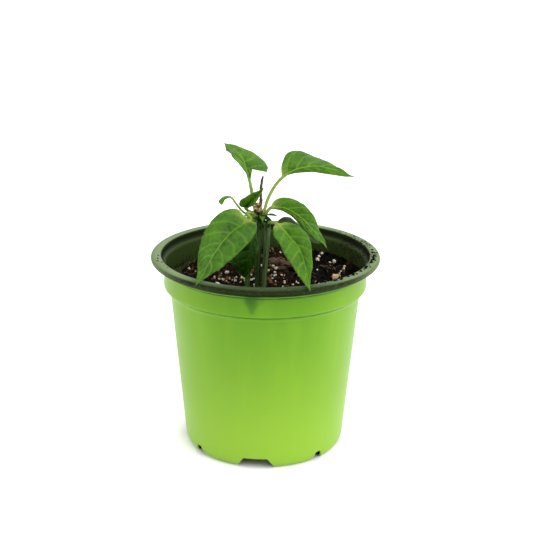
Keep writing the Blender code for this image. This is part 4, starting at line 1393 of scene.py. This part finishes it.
lime = lime_plastic()
olive = olive_plastic()
mix = potting_mix()
white = crumb_stone("perlite", paint(236, 230, 212), paint(190, 182, 160), paint(206, 184, 112), 1500.0)
peat = crumb_stone("peat", paint(96, 72, 42), paint(34, 22, 12), paint(126, 100, 66), 1200.0)
tan = crumb_stone("bark chip", paint(226, 200, 156), paint(150, 116, 78), paint(170, 140, 90), 900.0)
old_stem = stem_skin("old green stem", paint(34, 58, 20), paint(66, 94, 42), paint(60, 50, 30))
grey_stem = stem_skin("greyish stem", paint(42, 70, 26), paint(98, 126, 74), paint(60, 50, 30))
green_stem = stem_skin("green stem", paint(48, 84, 26), paint(84, 120, 50), paint(60, 50, 30))
stub_bark = stem_skin("cut stub bark", paint(168, 136, 88), paint(204, 178, 130), paint(70, 46, 28))
withered = stem_skin("withered shoot", paint(44, 30, 24), paint(74, 50, 40), paint(24, 16, 12))
fresh = leaf_skin("fresh leaf", paint(48, 92, 6), paint(76, 124, 18), paint(122, 162, 56),
                  paint(86, 124, 46), paint(136, 160, 72))
broad = leaf_skin("full grown leaf", paint(30, 70, 2), paint(70, 118, 18), paint(110, 152, 46),
                  paint(72, 112, 36), paint(136, 160, 72))
# painted shade: the darkest copy of the leaf finish, for the node leaflets and the back right leaf
darkest_shade = leaf_skin("dark bud leaf", paint(14, 38, 4), paint(34, 68, 12), paint(58, 92, 26),
                paint(40, 70, 20), paint(70, 100, 36))
young = leaf_skin("young leaf", paint(104, 134, 52), paint(136, 164, 78), paint(150, 176, 92),
                  paint(112, 142, 66), paint(140, 164, 82))
# painted shade: a darker copy of the leaf finish for leaves in shade
shaded = leaf_skin("deep leaf", paint(26, 62, 6), paint(46, 88, 14), paint(74, 112, 32),
                 paint(56, 92, 28), paint(84, 116, 44))

# Leaves whose finish isn't the usual one for their slot.
LEAF_FINISHES = {"front_left_leaf": broad, "small_top_leaf": broad, "curled_left_leaf": fresh,
                 "back_right_leaf": darkest_shade}

make_pot(lime, olive)
make_rim_bead(lime)
make_soil(mix)
make_crumbs(mix)
make_spilt_crumbs(mix)
make_perlite(white)
make_fibres(peat)
make_lump("peat_lump", "peat_clump", PEAT_CLUMP, peat, "peat", 5, 0.9, 3)
make_lump("tan_chip", "bark_chip", BARK_CHIP, tan, "bark", 4, 0.35, 8)
make_stem("main_stem", MAIN_STEM, (old_stem, stub_bark), "stem", scar_above=134.0, hollow=True)
make_stem("right_stem", RIGHT_STEM, (grey_stem,), "stem", scar_above=131.0)
make_stem("left_stem", LEFT_STEM, (green_stem,), "stem")
make_stem("dried_shoot", DRIED_SHOOT, (withered,), "dry_stem", ridges=3, wrinkle=0.3)
for name, leaf in LEAVES.items():
    slot = "leaf_dark" if name in DEEP_LEAVES else "leaf"
    finish = LEAF_FINISHES.get(name, shaded if name in DEEP_LEAVES else fresh)
    make_leaf(name, leaf, finish, slot)
make_tuft("node_tuft", TUFT, darkest_shade, "leaf_dark")
make_tuft("node_stipules", STIPULES, young, "leaf")


# ---------------------------------------------------------------- studio

ROOM_LIGHT = (0.32, 0.32, 0.32, 1.0)
COVE_LIGHT = (1.14, 1.14, 1.14, 1.0)
COVE_LIFT = 0.8          # how much the cove reaches forward overhead
COVE_SIDE = 1.0
COVE_EDGE = (-0.62, 0.25)
OVERHEAD_STRENGTH = 1.6
OVERHEAD_SPREAD = 50.0
OVERHEAD_TILT = (26.0, 38.0, 0.0)
FLOOR_GLOW = 0.45       # a glowing table top, its glow faded out under the pot as painted shade
GLOW_EDGE = (36.0, 60.0)


def studio_floor():
    """A wide pale floor whose glow fades out under the pot as painted shade."""
    finish, tree, shader = new_finish("studio floor")
    patches = use_group(tree, MOTTLE, Where=place(tree), Large=3.0, Small=20.0, Contrast=0.4)["Mask"]
    join(tree, blend(tree, patches, (0.86, 0.86, 0.85, 1.0), (0.9, 0.9, 0.89, 1.0)),
         shader.inputs["Base Color"])
    shader.inputs["Roughness"].default_value = 0.9
    shader.inputs["Specular IOR Level"].default_value = 0.1
    # painted shade: no glow under the pot
    away = stretch(tree, distance_from_axis(tree, place(tree)), *GLOW_EDGE)
    join(tree, blend(tree, away, (0.0, 0.0, 0.0, 1.0), (1.0, 1.0, 0.99, 1.0)),
         shader.inputs["Emission Color"])
    shader.inputs["Emission Strength"].default_value = FLOOR_GLOW
    bm = bmesh.new()
    bmesh.ops.create_grid(bm, x_segments=8, y_segments=8, size=6.0)
    mesh = bpy.data.meshes.new("studio_floor")
    bm.to_mesh(mesh)
    bm.free()
    mesh.materials.append(finish)
    floor = bpy.data.objects.new("studio_floor", mesh)
    floor.location.z = -0.00005
    bpy.context.scene.collection.objects.link(floor)


def studio_light():
    """A white cove behind, above and beside the plant, and a dimmer room in front of it."""
    world = bpy.data.worlds.new("white cove")
    world.use_nodes = True
    tree = world.node_tree
    back = tree.nodes["Background"]
    ways = node(tree, "SeparateXYZ", node(tree, "TexCoord").outputs["Generated"]).outputs
    lift = maths(tree, "ADD", ways["Y"], maths(tree, "MULTIPLY", ways["Z"], COVE_LIFT))
    side = maths(tree, "MULTIPLY", maths(tree, "ABSOLUTE", ways["X"]), COVE_SIDE)
    share = stretch(tree, maths(tree, "ADD", lift, side), *COVE_EDGE)
    join(tree, blend(tree, share, ROOM_LIGHT, COVE_LIGHT), back.inputs["Color"])
    back.inputs["Strength"].default_value = 1.0
    bpy.context.scene.world = world
    lamp = bpy.data.lights.new("overhead light", "SUN")
    lamp.energy = OVERHEAD_STRENGTH
    lamp.angle = math.radians(OVERHEAD_SPREAD)
    item = bpy.data.objects.new("overhead light", lamp)
    item.rotation_euler = [math.radians(turn) for turn in OVERHEAD_TILT]
    bpy.context.scene.collection.objects.link(item)


CAMERA_AIM = Vector((0.63, 0.0, 104.77))
CAMERA_DISTANCE = 750.0
CAMERA_RISE = 18.57      # degrees above level
CAMERA_ROLL = 0.518
CAMERA_LENS = 89.0


def make_camera():
    data = bpy.data.cameras.new("camera")
    data.lens = CAMERA_LENS
    data.sensor_width = 36.0
    data.clip_start = 0.05
    data.clip_end = 50.0
    rise = math.radians(CAMERA_RISE)
    back = Vector((0.0, -math.cos(rise), math.sin(rise)))
    across = Vector((1.0, 0.0, 0.0))
    upward = across.cross(-back)
    roll = math.radians(CAMERA_ROLL)
    right = across * math.cos(roll) + upward * math.sin(roll)
    top = upward * math.cos(roll) - across * math.sin(roll)
    turn = Matrix((right, top, back)).transposed().to_4x4()
    item = bpy.data.objects.new("camera", data)
    item.matrix_world = Matrix.Translation((CAMERA_AIM + back * CAMERA_DISTANCE) * MM) @ turn
    bpy.context.scene.collection.objects.link(item)
    bpy.context.scene.camera = item


studio_floor()
studio_light()
make_camera()
view = bpy.context.scene.view_settings
view.view_transform = "Standard"
view.look = "None"
view.exposure = 0.0
